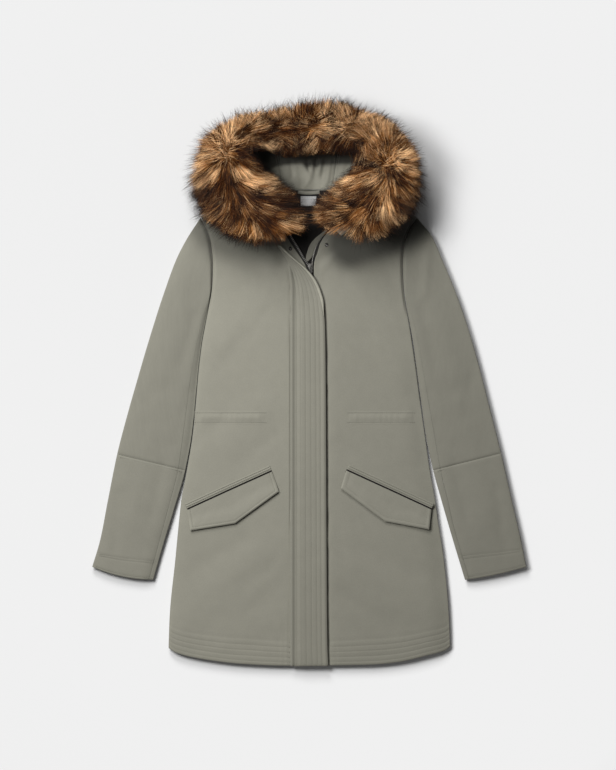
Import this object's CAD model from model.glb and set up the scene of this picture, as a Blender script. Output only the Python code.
"""Fur trimmed parka, laid flat on its back with the fronts closed and the hood open above the neck.

Millimetres in the tables and shape functions, metres in meshes, materials, camera and lights.
+Y runs from hem to hood, +Z is up, and the back lies on z = 0. Left and right are as seen from
above, so the left front is the one towards -X.
"""
import math

import bmesh
import bpy
import numpy as np
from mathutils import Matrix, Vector


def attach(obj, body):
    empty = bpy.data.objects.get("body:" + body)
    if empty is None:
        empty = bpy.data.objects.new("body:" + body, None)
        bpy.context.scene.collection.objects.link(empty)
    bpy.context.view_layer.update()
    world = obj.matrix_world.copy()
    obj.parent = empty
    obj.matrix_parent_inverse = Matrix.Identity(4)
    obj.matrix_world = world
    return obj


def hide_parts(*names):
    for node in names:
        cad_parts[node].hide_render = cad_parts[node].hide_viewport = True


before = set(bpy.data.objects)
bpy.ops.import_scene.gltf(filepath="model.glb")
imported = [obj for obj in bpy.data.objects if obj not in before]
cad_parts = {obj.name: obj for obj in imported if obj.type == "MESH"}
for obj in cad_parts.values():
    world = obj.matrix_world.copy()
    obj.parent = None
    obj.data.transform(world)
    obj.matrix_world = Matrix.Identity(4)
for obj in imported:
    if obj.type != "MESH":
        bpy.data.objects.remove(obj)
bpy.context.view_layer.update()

MM = 0.001

# -------- driving sizes, millimetres
WALL = 6.0                 # shell cloth, wadding and lining together
RING_RADIUS = 7.15         # half the height of a body or sleeve that lies flat
SEAM_GAP = 0.3             # between two pieces along a seam
ARMHOLE_GAP = 0.9          # between a sleeve and the body along their seam
EDGE_FULLNESS = {"left": 0.42, "right": 0.15}     # of the sides, lower is squarer
SIDE_GAP = 0.9             # between a sleeve and the side it lies against
LAY_GAP = 0.4              # under a piece that lies on a panel
HOOD_WALL = 3.0
LAYER = 4.0                # storm flap, its cloth and wadding
POCKET_LAYER = 3.2
MID = RING_RADIUS          # height at which the fronts meet the back
TOP = 2.0 * RING_RADIUS    # height of the fronts
UNDERARM_Y = 140.0
SHOULDER_Y = 298.0
HEM_CORNER_Y = {"left": -478.0, "right": -476.0}
BACK_HEM_LIFT = 3.0        # the back ends this far above the fronts' hem
FRONT_WIDTH = 250.0        # nominal sizes of a front, for the spacing of its points
PANEL_LENGTH = 790.0
SLEEVE_STEP = 58.0         # along a sleeve between two rows of its table
ELBOW_STEP = 70.0
CUFF_STEP = 51.0
HOOD_STEP = 50.0           # along the hood between two rows of its table
HOOD_SEAM_STEP = 46.0      # the same beside its two long seams
FLAP_WIDTH = 64.0          # nominal, for the spacing of the storm flap's points


def table(columns, *rows):
    """A short table: a dictionary of numpy columns under the given names."""
    return {name: np.array(values, dtype=float)
            for name, values in zip(columns.split(), zip(*rows))}


# side edges of the body: seam line below the underarm, armhole above it
BODY_SIDE = table(
    "y left right",
    (-512, -254, 255), (-420, -251, 252), (-320, -241, 243), (-248, -234, 232), (-212, -230, 227),
    (-158, -220, 217.5), (-90, -209, 208), (-27, -203, 199), (20, -199, 193), (69, -193, 186),
    (110, -185.5, 179.5), (140, -179.5, 173.5), (176, -174, 169), (213, -173, 167.5),
    (250, -176.5, 170.5), (274, -183, 178), (298, -195, 194),
)
HEM = table(
    "x y",
    (-254, -478), (-240, -487), (-189, -499), (-120, -507), (-40, -510),
    (40, -509.5), (110, -508.5), (160, -504), (214, -492), (244, -484), (255, -476),
)
# front edges: straight down to the hem, opening into a V at the neck
EDGE_LEFT = table(
    "y x",
    (-510, -1.5), (-200, -1.5), (150, -1.5), (196, -1.5), (211, -6.5), (232, -20.5),
    (244, -29.5), (259, -38.5), (274, -46),
)
EDGE_RIGHT = table(
    "y x",
    (-510, 8.7), (-200, 8.7), (150, 8.7), (206, 8.7), (220, 10), (233, 15), (249, 19.5),
    (266, 30), (278, 41),
)
YOKE_LEFT = table("x y", (-195, 298), (-140, 327), (-84, 356), (-72, 322), (-58, 295), (-46, 274))
YOKE_RIGHT = table("x y", (194, 298), (140, 327), (84, 356), (74, 322), (58, 298), (41, 278))
YOKE_BACK = table("x y", (-195, 298), (-140, 327), (-84, 356), (-44, 349), (0, 347), (44, 349),
                  (84, 356), (140, 327), (194, 298))
# sleeves: each row runs across from the outer edge to the inner edge
SLEEVES = {
    "left": table(
        "outer_x outer_y inner_x inner_y seam",
        (-195.5, 297, -180.5, 140, 16), (-221, 257, -186, 108, 16), (-238, 224, -191.5, 78, 16),
        (-263, 156, -197, 40, 16), (-292, 64, -203, -14, 16), (-309.5, 4, -206.5, -52, 16),
        (-326, -54, -211.5, -96, 16), (-345.5, -129, -223, -158, 13), (-362, -211, -242.5, -227, 11),
        (-376, -283, -262, -291, 9), (-390.5, -332, -280.5, -355, 8),
    ),
    "right": table(
        "outer_x outer_y inner_x inner_y seam",
        (195.5, 297, 174.5, 140, 16), (222, 262, 181, 108, 16), (241, 219, 187, 76, 16),
        (263, 166, 191.5, 42, 16), (286, 100, 198, -6, 16), (304, 38, 204, -50, 16),
        (324, -40, 210.5, -96, 16), (346, -127, 223.5, -158, 13), (363, -202, 238.5, -212, 11),
        (379, -271, 257, -276, 8), (391.5, -332, 281, -355.5, 8),
    ),
}
ELBOW_ROW = 7.0              # rows of a sleeve's table, counted from 0
CUFF_ROW = 10.0
CUFF_BOW = {"left": 6.0, "right": 2.5}      # the cuff's edge is bowed towards the hem
FLAP = table(
    "y sewn_x free_x",
    (-511, -32.5, 34.5), (-470, -32.5, 33), (-300, -32.5, 31.5), (0, -32.5, 30), (95, -32.5, 28.8),
    (143, -32.5, 24.7), (168, -32.5, 17.6), (183, -33.5, 10.6), (196, -35.5, 1.4),
    (208, -38.5, -9.9), (220, -43, -23.8), (233, -50, -38.7), (246, -57.5, -51.5),
)
BINDING = {"half": 1.9, "inset": 0.6}       # half its width, and its middle from the flap's edge
FLAP_ROWS = (0.165, 0.285, 0.42, 0.575, 0.72, 0.845)     # stitch rows, as shares of the flap's width
POCKETS = {
    "left": table("slot_x slot_y edge_x edge_y", (-219, -228, -213.5, -266.5),
                  (-146, -194.5, -133, -253.5), (-67, -159, -54.5, -196.5)),
    "right": table("slot_x slot_y edge_x edge_y", (220.5, -227.5, 216, -264.5),
                   (146, -193, 137, -250), (67.5, -157, 57, -190.5)),
}
POCKET_INSET = {"left": 5.4, "right": 7.6}  # stitch row, in from the edge of a pocket flap
POCKET_LIFT = 2.6            # the free edge of a pocket flap stands off the front
HEM_ROWS = (6.0, 14.5, 23.5, 32.5, 41.5)                 # stitch rows, up from the hem's edge
CUFF_ROWS = (3.5, 24.0, 27.5)                            # stitch rows, up from the cuff's edge
WAIST = {"left": (-206.0, -76.0), "right": (68.0, 191.5), "low": -75.0, "high": -51.5}

# soft ridges where the fronts lift off the back, and the smaller folds: from one end to the other
FRONT_FOLDS = table(
    "x0 y0 x1 y1 width height",
    (-225, -430, -75, -300, 70, 1.9), (-150, -460, -60, -420, 60, 1.2), (85, -330, 215, -420, 75, 1.9),
    (-165, 60, -60, 170, 70, 1.7), (70, 120, 150, 20, 75, 1.7), (-150, -110, -80, -40, 60, 1.3),
    (75, -60, 165, -120, 60, 1.3),
    (-170, 215, -110, 130, 36, -1.0), (-150, 40, -75, 130, 30, -0.9), (-120, -140, -60, -95, 26, -0.7),
    (-200, -330, -110, -280, 34, -1.0), (-190, -395, -70, -335, 30, -0.7),
    (-120, -400, -50, -330, 24, 0.7),
    (-205, -110, -150, -60, 24, -0.7), (60, 180, 110, 90, 30, -0.9), (95, 40, 170, -30, 32, -0.9),
    (60, -110, 110, -160, 26, -0.7), (90, -300, 190, -345, 34, -1.0), (60, -380, 150, -440, 30, -0.9),
    (150, -100, 195, -150, 24, -0.7), (130, 230, 162, 150, 26, -0.9), (45, -200, 60, -330, 26, -0.6),
    (-46, 218, -68, 250, 15, -2.0), (-70, 205, -58, 240, 22, 0.9), (22, 203, 43, 225, 8, 1.0),
    (16, 220, 44, 240, 15, -1.6), (60, 215, 92, 190, 26, 0.8), (-110, 235, -84, 200, 24, -0.8),
)
SLEEVE_FOLDS = table(
    "x0 y0 x1 y1 width height",
    (-215, 205, -262, 20, 40, 1.4), (-275, -40, -318, -250, 40, 1.2), (212, 215, 262, 20, 40, 1.4),
    (277, -40, 318, -250, 40, 1.2),
    (-205, 120, -232, 30, 22, -1.0), (-218, -20, -240, -110, 20, -0.9), (-300, 20, -280, -70, 24, -0.8),
    (-262, -150, -282, -240, 20, -0.7), (-340, -200, -352, -300, 20, -0.8),
    (-232, 180, -222, 90, 22, 0.7),
    (203, 130, 225, 40, 22, -1.0), (215, -20, 238, -110, 20, -0.9), (298, 30, 282, -60, 24, -0.8),
    (262, -150, 284, -245, 20, -0.7), (338, -190, 352, -300, 20, -0.8), (214, 240, 208, 160, 18, 1.2),
)

# fur trim: sections from its inner to its outer edge, and the height of its crest
FUR = table(
    "inner_x inner_y outer_x outer_y crest",
    (-6, 272, -62, 247, 62), (-14, 320, -140, 260, 88), (-41, 358, -197, 302, 98),
    (-77, 390, -214, 364, 101), (-96, 410, -200, 433, 97), (-83, 414, -142, 481, 91),
    (-34, 401, -45, 501, 87), (16, 407, 34, 511, 86), (61, 405, 114, 496, 89),
    (89, 413, 177, 455, 96), (79, 397, 214, 392, 101), (50, 364, 215, 334, 100),
    (12, 322, 166, 281, 90), (8, 284, 76, 249, 62),
)
FUR_ON_COAT = 19.4           # under side of the trim over the coat
FUR_REST = 0.8               # and where it lies on the surface beyond the shoulders
# the pieces that the trim is sewn from, as fractions of the way along it
PELTS = {"fur_left_end": (0.0, 0.19), "fur_left_side": (0.19, 0.42), "fur_crown": (0.42, 0.60),
         "fur_right_side": (0.60, 0.82), "fur_right_end": (0.82, 1.0)}

# hood: neck seam and opening edge, and where its two long seams run
HOOD = table(
    "neck_x neck_y rim_x rim_y",
    (-47, 275, -52, 262), (-59, 296, -84, 290), (-74, 324, -122, 334), (-86, 357.5, -146, 380),
    (-70, 355, -134, 430), (-46, 350.5, -64, 450), (0, 348, -2, 455), (42, 350.5, 58, 451),
    (70, 355, 130, 434), (86, 357.5, 150, 384), (76, 324, 130, 336), (60, 299, 96, 294),
    (43, 279.5, 58, 264),
)
HOOD_SEAMS = (5.0, 7.0)      # rows of the table
HOOD_RIM_TOP = 18.6          # height of the opening edge
HOOD_REST = 0.4              # under side of the hood on the surface
HOOD_ON_COAT = 15.0          # and over the coat
SHOULDER_LINE = table("x y", (0, 346), (84, 356), (194, 297), (240, 225))
DROP = (6.0, 34.0)           # how far past the shoulder line things begin to drop, and lie down
HOOD_FOLDS = table(
    "x0 y0 x1 y1 width height",
    (-20, 352, -26, 388, 9, 1.3), (8, 352, 12, 380, 12, -1.2), (30, 354, 26, 380, 9, 1.2),
    (-52, 356, -48, 390, 10, -1.0), (56, 358, 62, 392, 9, 1.1), (-8, 366, -30, 386, 9, -0.9),
    (-14, 396, 3, 370, 9, 2.2), (-3, 402, -1, 384, 6, -2.6), (5, 400, 6, 378, 7, 1.6),
    (13, 402, 12, 386, 6, -2.6), (22, 400, 18, 380, 8, 1.8), (29, 398, 24, 372, 8, -2.4),
    (38, 398, 34, 364, 7, 1.6), (-34, 398, -30, 372, 9, -1.8), (-1, 362, -10, 348, 7, 1.3),
)
# where the lining turns back into the dark under the crown
HOOD_DARK = table("x y", (-80, 378), (-52, 390), (-36, 392), (-14, 393), (-3, 387.5), (5, 390),
                  (13, 387.5), (20, 391), (30, 391), (44, 392), (60, 393))
DARK_CLOTH = (0.012, 0.0118, 0.0095)

# inside the neck
NECK_LINING = table("y half", (196, 40), (250, 52), (300, 66), (346, 74))
LINING_WALL = 1.4
LABEL = {"left": -15.0, "right": 13.0, "low": 318.0, "high": 335.5, "thick": 0.8}
LOOP = {"left": -20.0, "right": 19.0, "low": 338.5, "high": 344.5, "bow": 1.6, "thick": 1.6}

# zip
ZIP_X = 3.6
TAPE = (9.6, 10.8)           # under and upper side of the tapes
TAPE_LEFT = table("y x", (-500, 3.45), (196, 3.45), (203, 3.3), (214, -1.8), (222.5, -7.7),
                  (240, -18), (259, -29.5), (268, -35))
TAPE_RIGHT = table("y x", (-500, 3.75), (196, 3.75), (203, 3.9), (211, 5.8), (220, 6.6),
                   (233, 9.5), (246, 14), (264, 26), (273, 35))
GUARD = table("y left right", (218, -6.2, -1.5), (226, -5.5, 5.2), (237, -2.8, 9.8), (248, 1.5, 14.4),
              (259, 10.5, 21.8), (268, 21, 28.2), (274, 29, 33.5))
GUARD_Z = (8.1, 9.3)         # under side, and upper side at its edges
SLIDER = {"top": 214.0, "bottom": 203.0, "half_width": 4.1, "plate": (11.6, 13.0), "sole": (8.1, 9.2),
          "post": 0.9}
BAIL = {"half_width": 1.0, "front": 205.0, "rear": 211.0, "foot": 12.5, "inside": 15.1, "outside": 16.1}
PULL_AXIS = (ZIP_X, 208.0, 14.05)
PULL = {"bar": 0.55, "inner": 1.4, "outer": 2.4, "neck": 203.2, "end": 197.4, "half_width": 2.5,
        "thick": 0.55}
SNAPS = table("x y", (-33.5, 241.0), (31.5, 248.0))


# -------- curves
def through(xs, ys, x):
    """A smooth curve through the points that never swings past them."""
    xs, ys, x = (np.asarray(values, dtype=float) for values in (xs, ys, x))
    rise = np.diff(ys) / np.diff(xs)
    before, after = np.concatenate((rise[:1], rise)), np.concatenate((rise, rise[-1:]))
    product, total = before * after, before + after
    slopes = np.where(product > 0.0, 2.0 * product / np.where(total == 0.0, 1.0, total), 0.0)
    k = np.clip(np.searchsorted(xs, x, side="right") - 1, 0, len(xs) - 2)
    h = xs[k + 1] - xs[k]
    t = np.clip((x - xs[k]) / h, 0.0, 1.0)
    return ((1 + 2 * t) * (1 - t) ** 2 * ys[k] + t * (1 - t) ** 2 * h * slopes[k]
            + t * t * (3 - 2 * t) * ys[k + 1] - t * t * (1 - t) * h * slopes[k + 1])


def row(rows, column, at):
    """A column of a table at places counted in its rows."""
    return through(np.arange(len(rows[column])), rows[column], at)


def line_points(rows, name, at):
    """Plan points on the line that a table gives under a name, at places counted in its rows."""
    return np.stack([row(rows, f"{name}_x", at), row(rows, f"{name}_y", at)], axis=-1)


def x_at(rows, column, y):
    """Where a line of a table lies across the parka at a height y."""
    return through(rows["y"], rows[column], y)


def along(rows, fraction, x="x", y="y"):
    """The point a fraction of the way along the line through a table's points."""
    steps = np.hypot(np.diff(rows[x]), np.diff(rows[y]))
    run = np.concatenate(([0.0], np.cumsum(steps))) / steps.sum()
    return np.stack([np.interp(fraction, run, rows[x]), np.interp(fraction, run, rows[y])], axis=-1)


def side(which, y):
    return x_at(BODY_SIDE, which, y)


def smooth(low, high, value):
    """0 up to low, 1 from high on, and an even slope without corners between."""
    t = np.clip((np.asarray(value, dtype=float) - low) / (high - low), 0.0, 1.0)
    return t * t * (3 - 2 * t)


def bell(distance, reach):
    """1 at a line and on both sides of it fading away past a reach."""
    return np.exp(-(np.asarray(distance) / reach) ** 2)


def groove(distance, width):
    """The same for a groove or row of stitches of a width."""
    return bell(distance, 0.5 * width)


def fading(distance, reach):
    """1 at an edge, falling off evenly away from it."""
    return np.exp(-distance / reach)


def folds(rows, x, y):
    """Height of soft folds at a place: a round hump or trough across, fading at both ends."""
    total = np.zeros(np.broadcast(x, y).shape)
    for x0, y0, x1, y1, width, height in zip(*rows.values()):
        run = math.hypot(x1 - x0, y1 - y0)
        u = ((x - x0) * (x1 - x0) + (y - y0) * (y1 - y0)) / run
        v = ((x - x0) * (y1 - y0) - (y - y0) * (x1 - x0)) / run
        past = np.maximum(0.0, np.maximum(-u, u - run))
        total = total + height * np.exp(-((v / (0.5 * width)) ** 2 + (past / (0.5 * width)) ** 2))
    return total


def ripple(x, y, size, seed):
    """Uneven low waves about a length of size, between -1 and 1."""
    total = np.zeros(np.broadcast(x, y).shape)
    for k in range(5):
        turn = seed * 1.7 + k * 2.4
        step = 2.0 * math.pi / (size * (0.7 + 0.22 * k))
        total = total + np.sin(step * (x * math.cos(turn) + y * math.sin(turn)) + seed * 5.1 + k * 1.9)
    return total / 3.2


def front_level(x, y):
    """Height of the fronts without their seams and sides, on which the flaps lie."""
    return TOP + folds(FRONT_FOLDS, x, y) + 0.26 * ripple(x, y, 90.0, 1.0)


def front_top(x, y):
    """Height of the fronts' upper side, falling off at its sides and beside the storm flap."""
    from_right, from_left = side("right", y) - x, x - side("left", y)
    low = 1.0 - smooth(120.0, 190.0, y)
    deep = 4.2 - 2.4 * smooth(-70.0, 70.0, y)
    fall = low * (deep * bell(np.maximum(from_right, 0.0), 22.0)
                  + 1.6 * bell(np.maximum(from_left, 0.0), 12.0))
    past = x - x_at(FLAP, "free_x", y) - 1.2
    beside = 1.0 - smooth(190.0, 208.0, y)
    uneven = 1.0 + 0.35 * ripple(0.0, y, 46.0, 12.0)
    slot = beside * (4.4 * uneven * bell(past, np.where(past > 0.0, 2.9, 3.4))
                     + 1.1 * uneven * bell(past - 2.0, 9.0))
    seam = 1.7 * bell(x - x_at(FLAP, "sewn_x", y) + 0.7, 1.7)
    return (front_level(x, y) + 0.09 * ripple(x, y, 27.0, 2.0)
            - fall - slot - seam * (1.0 - smooth(190.0, 212.0, y)))


# -------- node maths
class Value:
    """A number in a node tree. Arithmetic on it adds Math nodes."""

    def __init__(self, finish, socket):
        self.finish = finish
        self.socket = socket

    def _math(self, operation, *operands):
        found = self.finish.node("ShaderNodeMath", {"operation": operation},
                                 {k: value for k, value in enumerate(operands)})
        return Value(self.finish, found.outputs[0])

    def __add__(self, other):
        return self._math("ADD", self, other)

    def __radd__(self, other):
        return self._math("ADD", other, self)

    def __sub__(self, other):
        return self._math("SUBTRACT", self, other)

    def __rsub__(self, other):
        return self._math("SUBTRACT", other, self)

    def __mul__(self, other):
        return self._math("MULTIPLY", self, other)

    def __rmul__(self, other):
        return self._math("MULTIPLY", other, self)

    def at_least(self, low):
        return self._math("MAXIMUM", self, low)

    def at_most(self, high):
        return self._math("MINIMUM", self, high)

    def within(self, low, high):
        """0 at low, 1 at high, smooth between and held past them."""
        found = self.finish.node("ShaderNodeMapRange", {"interpolation_type": "SMOOTHSTEP"},
                                 {"Value": self, "From Min": low, "From Max": high})
        return Value(self.finish, found.outputs[0])


class Finish:
    """A material under construction. Constants go on the shader's own sockets."""

    def __init__(self, name, **constants):
        self.material = bpy.data.materials.new(name)
        self.material.use_nodes = True
        self.tree = self.material.node_tree
        self.shader = self.tree.nodes["Principled BSDF"]
        for key, value in constants.items():
            self.shader.inputs[key.replace("_", " ").title().replace("Ior", "IOR")].default_value = value

    def node(self, kind, settings=None, sockets=None):
        made = self.tree.nodes.new(kind)
        for key, value in (settings or {}).items():
            if key == "stops":
                ramp = made.color_ramp
                while len(ramp.elements) < len(value):
                    ramp.elements.new(0.5)
                for element, (place, colour) in zip(ramp.elements, value):
                    element.position = place
                    element.color = (*colour, 1.0)
            else:
                setattr(made, key, value)
        for key, value in (sockets or {}).items():
            self.fill(made.inputs[key], value)
        return made

    def fill(self, socket, value):
        if isinstance(value, Value):
            value = value.socket
        if isinstance(value, bpy.types.NodeSocket):
            self.tree.links.new(value, socket)
        elif isinstance(value, tuple) and len(value) == 3 and socket.type == "RGBA":
            socket.default_value = (*value, 1.0)
        else:
            socket.default_value = value

    def grain(self):
        """Plan of the cloth along its weave, in metres."""
        return self.node("ShaderNodeUVMap", {"uv_map": "grain"}).outputs["UV"]

    def place(self):
        return self.node("ShaderNodeTexCoord").outputs["Object"]

    def noise(self, vector, scale, detail=2.0, roughness=0.5):
        found = self.node("ShaderNodeTexNoise", None,
                          {"Vector": vector, "Scale": scale, "Detail": detail, "Roughness": roughness})
        return Value(self, found.outputs["Fac"])

    def wave(self, vector, direction, scale, distortion):
        found = self.node("ShaderNodeTexWave", {"bands_direction": direction},
                          {"Vector": vector, "Scale": scale, "Distortion": distortion,
                           "Detail": 1.0, "Detail Scale": 2.0})
        return Value(self, found.outputs["Fac"])

    def attribute(self, name):
        found = self.node("ShaderNodeAttribute", {"attribute_name": name})
        return Value(self, found.outputs["Fac"])

    def ramp(self, factor, *stops):
        return self.node("ShaderNodeValToRGB", {"stops": stops}, {"Fac": factor}).outputs["Color"]

    def mix(self, factor, one, two):
        """One colour at factor 0, the other at 1."""
        found = self.node("ShaderNodeMix", {"data_type": "RGBA", "blend_type": "MIX"},
                          {0: factor, 6: one, 7: two})
        return found.outputs[2]

    def bump(self, height, distance, strength):
        found = self.node("ShaderNodeBump", None,
                          {"Height": height, "Distance": distance, "Strength": strength})
        self.fill(self.shader.inputs["Normal"], found.outputs["Normal"])

    def colour(self, value):
        self.fill(self.shader.inputs["Base Color"], value)

    def roughness(self, value):
        self.fill(self.shader.inputs["Roughness"], value)


def woven(name, light, dark, pitch=0.0011, sheen=0.25, rough=0.78):
    """Close cotton twill: fine slanting ribs, slight slubs and a soft bloom."""
    cloth = Finish(name, sheen_weight=sheen, sheen_roughness=0.45, specular_ior_level=0.25)
    grain = cloth.grain()
    slant, waves_per_scale = math.radians(58.0), 0.314
    turned = cloth.node("ShaderNodeVectorRotate", {"rotation_type": "Z_AXIS"},
                        {"Vector": grain, "Angle": slant}).outputs["Vector"]
    ribs = cloth.wave(turned, "X", waves_per_scale / pitch, 0.6)
    slubs = cloth.noise(grain, 900.0, 2.0, 0.6)
    cast = cloth.noise(grain, 7.0, 2.0)
    mottle = cloth.noise(grain, 55.0, 3.0)
    flecks = cloth.noise(grain, 420.0, 2.0, 0.7)
    tone = 0.16 * ribs + 0.16 * slubs + 0.40 * flecks + 0.16 * mottle + 0.12 * cast
    worn = cloth.attribute("worn")
    clean = cloth.ramp(tone + 0.25 * worn, (0.25, dark), (0.75, light))
    cloth.colour(cloth.mix(cloth.attribute("shade"), clean, DARK_CLOTH))
    cloth.roughness(rough - 0.06 * ribs)
    cloth.bump(ribs + 0.6 * slubs, 0.00012, 0.55)
    return cloth.material


def twill(name, share):
    """The shell's cotton twill, paler or darker by a share."""
    return woven(name, *(tuple(share * part for part in tone) for tone in (CLOTH_LIGHT, CLOTH_DARK)))


def plain(name, colour, rough, metallic=0.0, scale=400.0):
    """A finish with a little variation in colour and gloss."""
    depth, spread = 0.00004, 0.12
    finish = Finish(name, metallic=metallic)
    spots = finish.noise(finish.place(), scale, 2.0)
    dark = tuple(channel * (1.0 - spread) for channel in colour)
    light = tuple(min(1.0, channel * (1.0 + spread)) for channel in colour)
    finish.colour(finish.ramp(spots, (0.3, dark), (0.7, light)))
    finish.roughness(rough + 0.15 * (spots - 0.5))
    finish.bump(spots, depth, 0.5)
    return finish.material


def fur_finish():
    """Hair from grey-brown root through tan to its tip, with dark locks and black-tipped guard hairs."""
    hair = Finish("fur", specular_ior_level=0.02)
    height, tone, black = (hair.attribute(name) for name in ("hair_height", "hair_tone", "hair_black"))
    strands = hair.noise(hair.place(), 420.0, 2.0, 0.6)
    level = tone + 0.34 * (height - 0.55) + 0.22 * (strands - 0.5)
    body = hair.ramp(level, (0.0, (0.012, 0.0036, 0.0009)), (0.22, (0.046, 0.0138, 0.0033)),
                     (0.45, (0.185, 0.060, 0.0130)), (0.68, (0.50, 0.222, 0.068)),
                     (0.95, (0.98, 0.62, 0.32)))
    root_brown, tip_black = (0.017, 0.008, 0.0045), (0.013, 0.010, 0.009)
    rooted = hair.mix(height.within(0.10, 0.66), root_brown, body)
    hair.colour(hair.mix(black * height.within(0.42, 0.85), rooted, tip_black))
    hair.roughness(0.50 + 0.2 * strands)
    return hair.material


CLOTH_LIGHT, CLOTH_DARK = (0.222, 0.215, 0.175), (0.163, 0.158, 0.128)
FRONT_SHADE = {"left": 0.98, "right": 0.88}
SLEEVE_SHADE = {"left": 0.84, "right": 0.77}      # the nap lies the other way on a sleeve
shell_cloth = woven("shell_cloth", CLOTH_LIGHT, CLOTH_DARK)
front_cloth = {which: twill(f"front_cloth_{which}", share) for which, share in FRONT_SHADE.items()}
sleeve_cloth = {which: twill(f"sleeve_cloth_{which}", share) for which, share in SLEEVE_SHADE.items()}
flap_cloth = twill("flap_cloth", 0.89)
thread = plain("sewing_thread", (0.150, 0.146, 0.118), 0.6, scale=2500.0)
lining_cloth = woven("lining", (0.0080, 0.0072, 0.0062), (0.0038, 0.0034, 0.0030), 0.0007, 0.0, 0.9)
hood_cloth = twill("hood_cloth", 1.30)
label_cloth = woven("label", (0.53, 0.53, 0.525), (0.45, 0.45, 0.445), 0.0006, 0.2, 0.6)
tape_cloth = woven("zip_tape", (0.026, 0.025, 0.022), (0.013, 0.012, 0.011), 0.0009, 0.0, 0.8)
binding_cloth = twill("binding_cloth", 1.30)
guard_cloth = twill("guard_cloth", 0.66)
dark_metal = plain("dark_metal", (0.040, 0.038, 0.035), 0.25, 1.0)
bright_metal = plain("tooth_metal", (0.34, 0.33, 0.31), 0.36, 1.0)
slider_metal = plain("slider_metal", (0.13, 0.125, 0.115), 0.34, 1.0)
fur_hair = fur_finish()


# -------- meshes
def put_in_scene(name, data):
    """An object in the scene from a mesh, a lamp or a lens."""
    made = bpy.data.objects.new(name, data)
    bpy.context.scene.collection.objects.link(made)
    return made


def put_on(name, mesh, finish, body):
    """A piece of the parka in its finish, riding on one of its bodies."""
    mesh.materials.append(finish)
    made = put_in_scene(name, mesh)
    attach(made, body)
    return made


def add_piece(name, points, faces, finish, grain=None, worn=None, shade=None, sharp=45.0,
              tidy_normals=True):
    """A piece from its points in millimetres and its faces, with what its cloth's finish reads."""
    mesh = bpy.data.meshes.new(name)
    mesh.from_pydata(np.asarray(points, dtype=float) * MM, [], faces)
    mesh.update()
    if tidy_normals:
        shape = bmesh.new()
        shape.from_mesh(mesh)
        bmesh.ops.recalc_face_normals(shape, faces=shape.faces)
        shape.to_mesh(mesh)
        shape.free()
    mesh.shade_smooth()
    mesh.set_sharp_from_angle(angle=math.radians(sharp))
    if grain is not None:
        corner = np.empty(len(mesh.loops), dtype=np.int32)
        mesh.loops.foreach_get("vertex_index", corner)
        layer = mesh.uv_layers.new(name="grain")
        layer.uv.foreach_set("vector", (np.asarray(grain) * MM)[corner].astype(np.float32).ravel())
    for kind, values in (("worn", worn), ("shade", shade)):
        if values is not None:
            layer = mesh.attributes.new(kind, "FLOAT", "POINT")
            layer.data.foreach_set("value", np.asarray(values, dtype=np.float32))
    return put_on(name, mesh, finish, "parka")


def grid_faces(rows, columns, start=0):
    """Four-sided faces of a grid of points, row by row."""
    k = start + np.arange(rows * columns).reshape(rows, columns)
    return np.stack([k[:-1, :-1], k[:-1, 1:], k[1:, 1:], k[1:, :-1]], axis=-1).reshape(-1, 4)


def closed_faces(rows, columns):
    """Faces of a grid, of a second grid behind it that is turned over, and of the rim between them."""
    size = rows * columns
    k = np.arange(size).reshape(rows, columns)
    border = np.concatenate([k[0, :-1], k[:-1, -1], k[-1, :0:-1], k[:0:-1, 0]])
    after = np.roll(border, -1)
    rim = np.stack([border, after, after + size, border + size], axis=-1)
    return np.concatenate([grid_faces(rows, columns), grid_faces(rows, columns, size)[:, ::-1], rim])


def unit(vectors):
    """The same directions at length 1."""
    return vectors / np.linalg.norm(vectors, axis=1)[:, None]


def run_lengths(points, axis):
    """Distance along a grid's rows or columns, measured on its middle line."""
    steps = np.linalg.norm(np.diff(points, axis=axis), axis=2)
    return np.concatenate([np.zeros_like(steps.take([0], axis)), np.cumsum(steps, axis)], axis)


def under_fur(x, y):
    """How dark the cloth lies beside the lower edge of the fur, more so away from the light."""
    overhang, reach = 20.0, 22.0
    _, edge, _ = fur_rows(np.concatenate([np.linspace(0.0, 0.36, 40), np.linspace(0.64, 1.0, 40)]))
    gap = np.sqrt(((np.stack([x, y], axis=-1)[..., None, :] - edge) ** 2).sum(-1).min(-1))
    far_side = smooth(-40.0, 60.0, x)
    clear = np.maximum(gap - overhang - 7.0 * far_side, 0.0)
    return (0.46 + 0.34 * far_side) * bell(clear, reach) * smooth(170.0, 210.0, y)


def wall(name, outer, inner, finish, slot, worn=0.0, shade=None):
    """A closed wall between two grids of points that match row for row."""
    rows, columns = outer.shape[:2]
    u = run_lengths(outer, 1) + outer[:, :1, 0]
    v = run_lengths(outer, 0) + outer[:1, :, 1]
    grain = np.dstack([u, v]).reshape(-1, 2)
    wear = np.broadcast_to(worn, (rows, columns)).reshape(-1)
    if shade is not None:
        shade = np.concatenate([shade.reshape(-1), shade.reshape(-1)])
    return add_piece(name, np.concatenate([outer.reshape(-1, 3), inner.reshape(-1, 3)]),
                     closed_faces(rows, columns), finish, grain=np.concatenate([grain, grain]),
                     worn=np.concatenate([wear, wear * 0.0]), shade=shade)


def slab(name, plan, under, upper, finish, slot="shell_cloth", **options):
    """A wall that stands straight up between an under and an upper side over a plan."""
    inner, outer = (np.dstack([plan, np.broadcast_to(z, plan.shape[:2])]) for z in (under, upper))
    return wall(name, outer, inner, finish, slot, **options)


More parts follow.
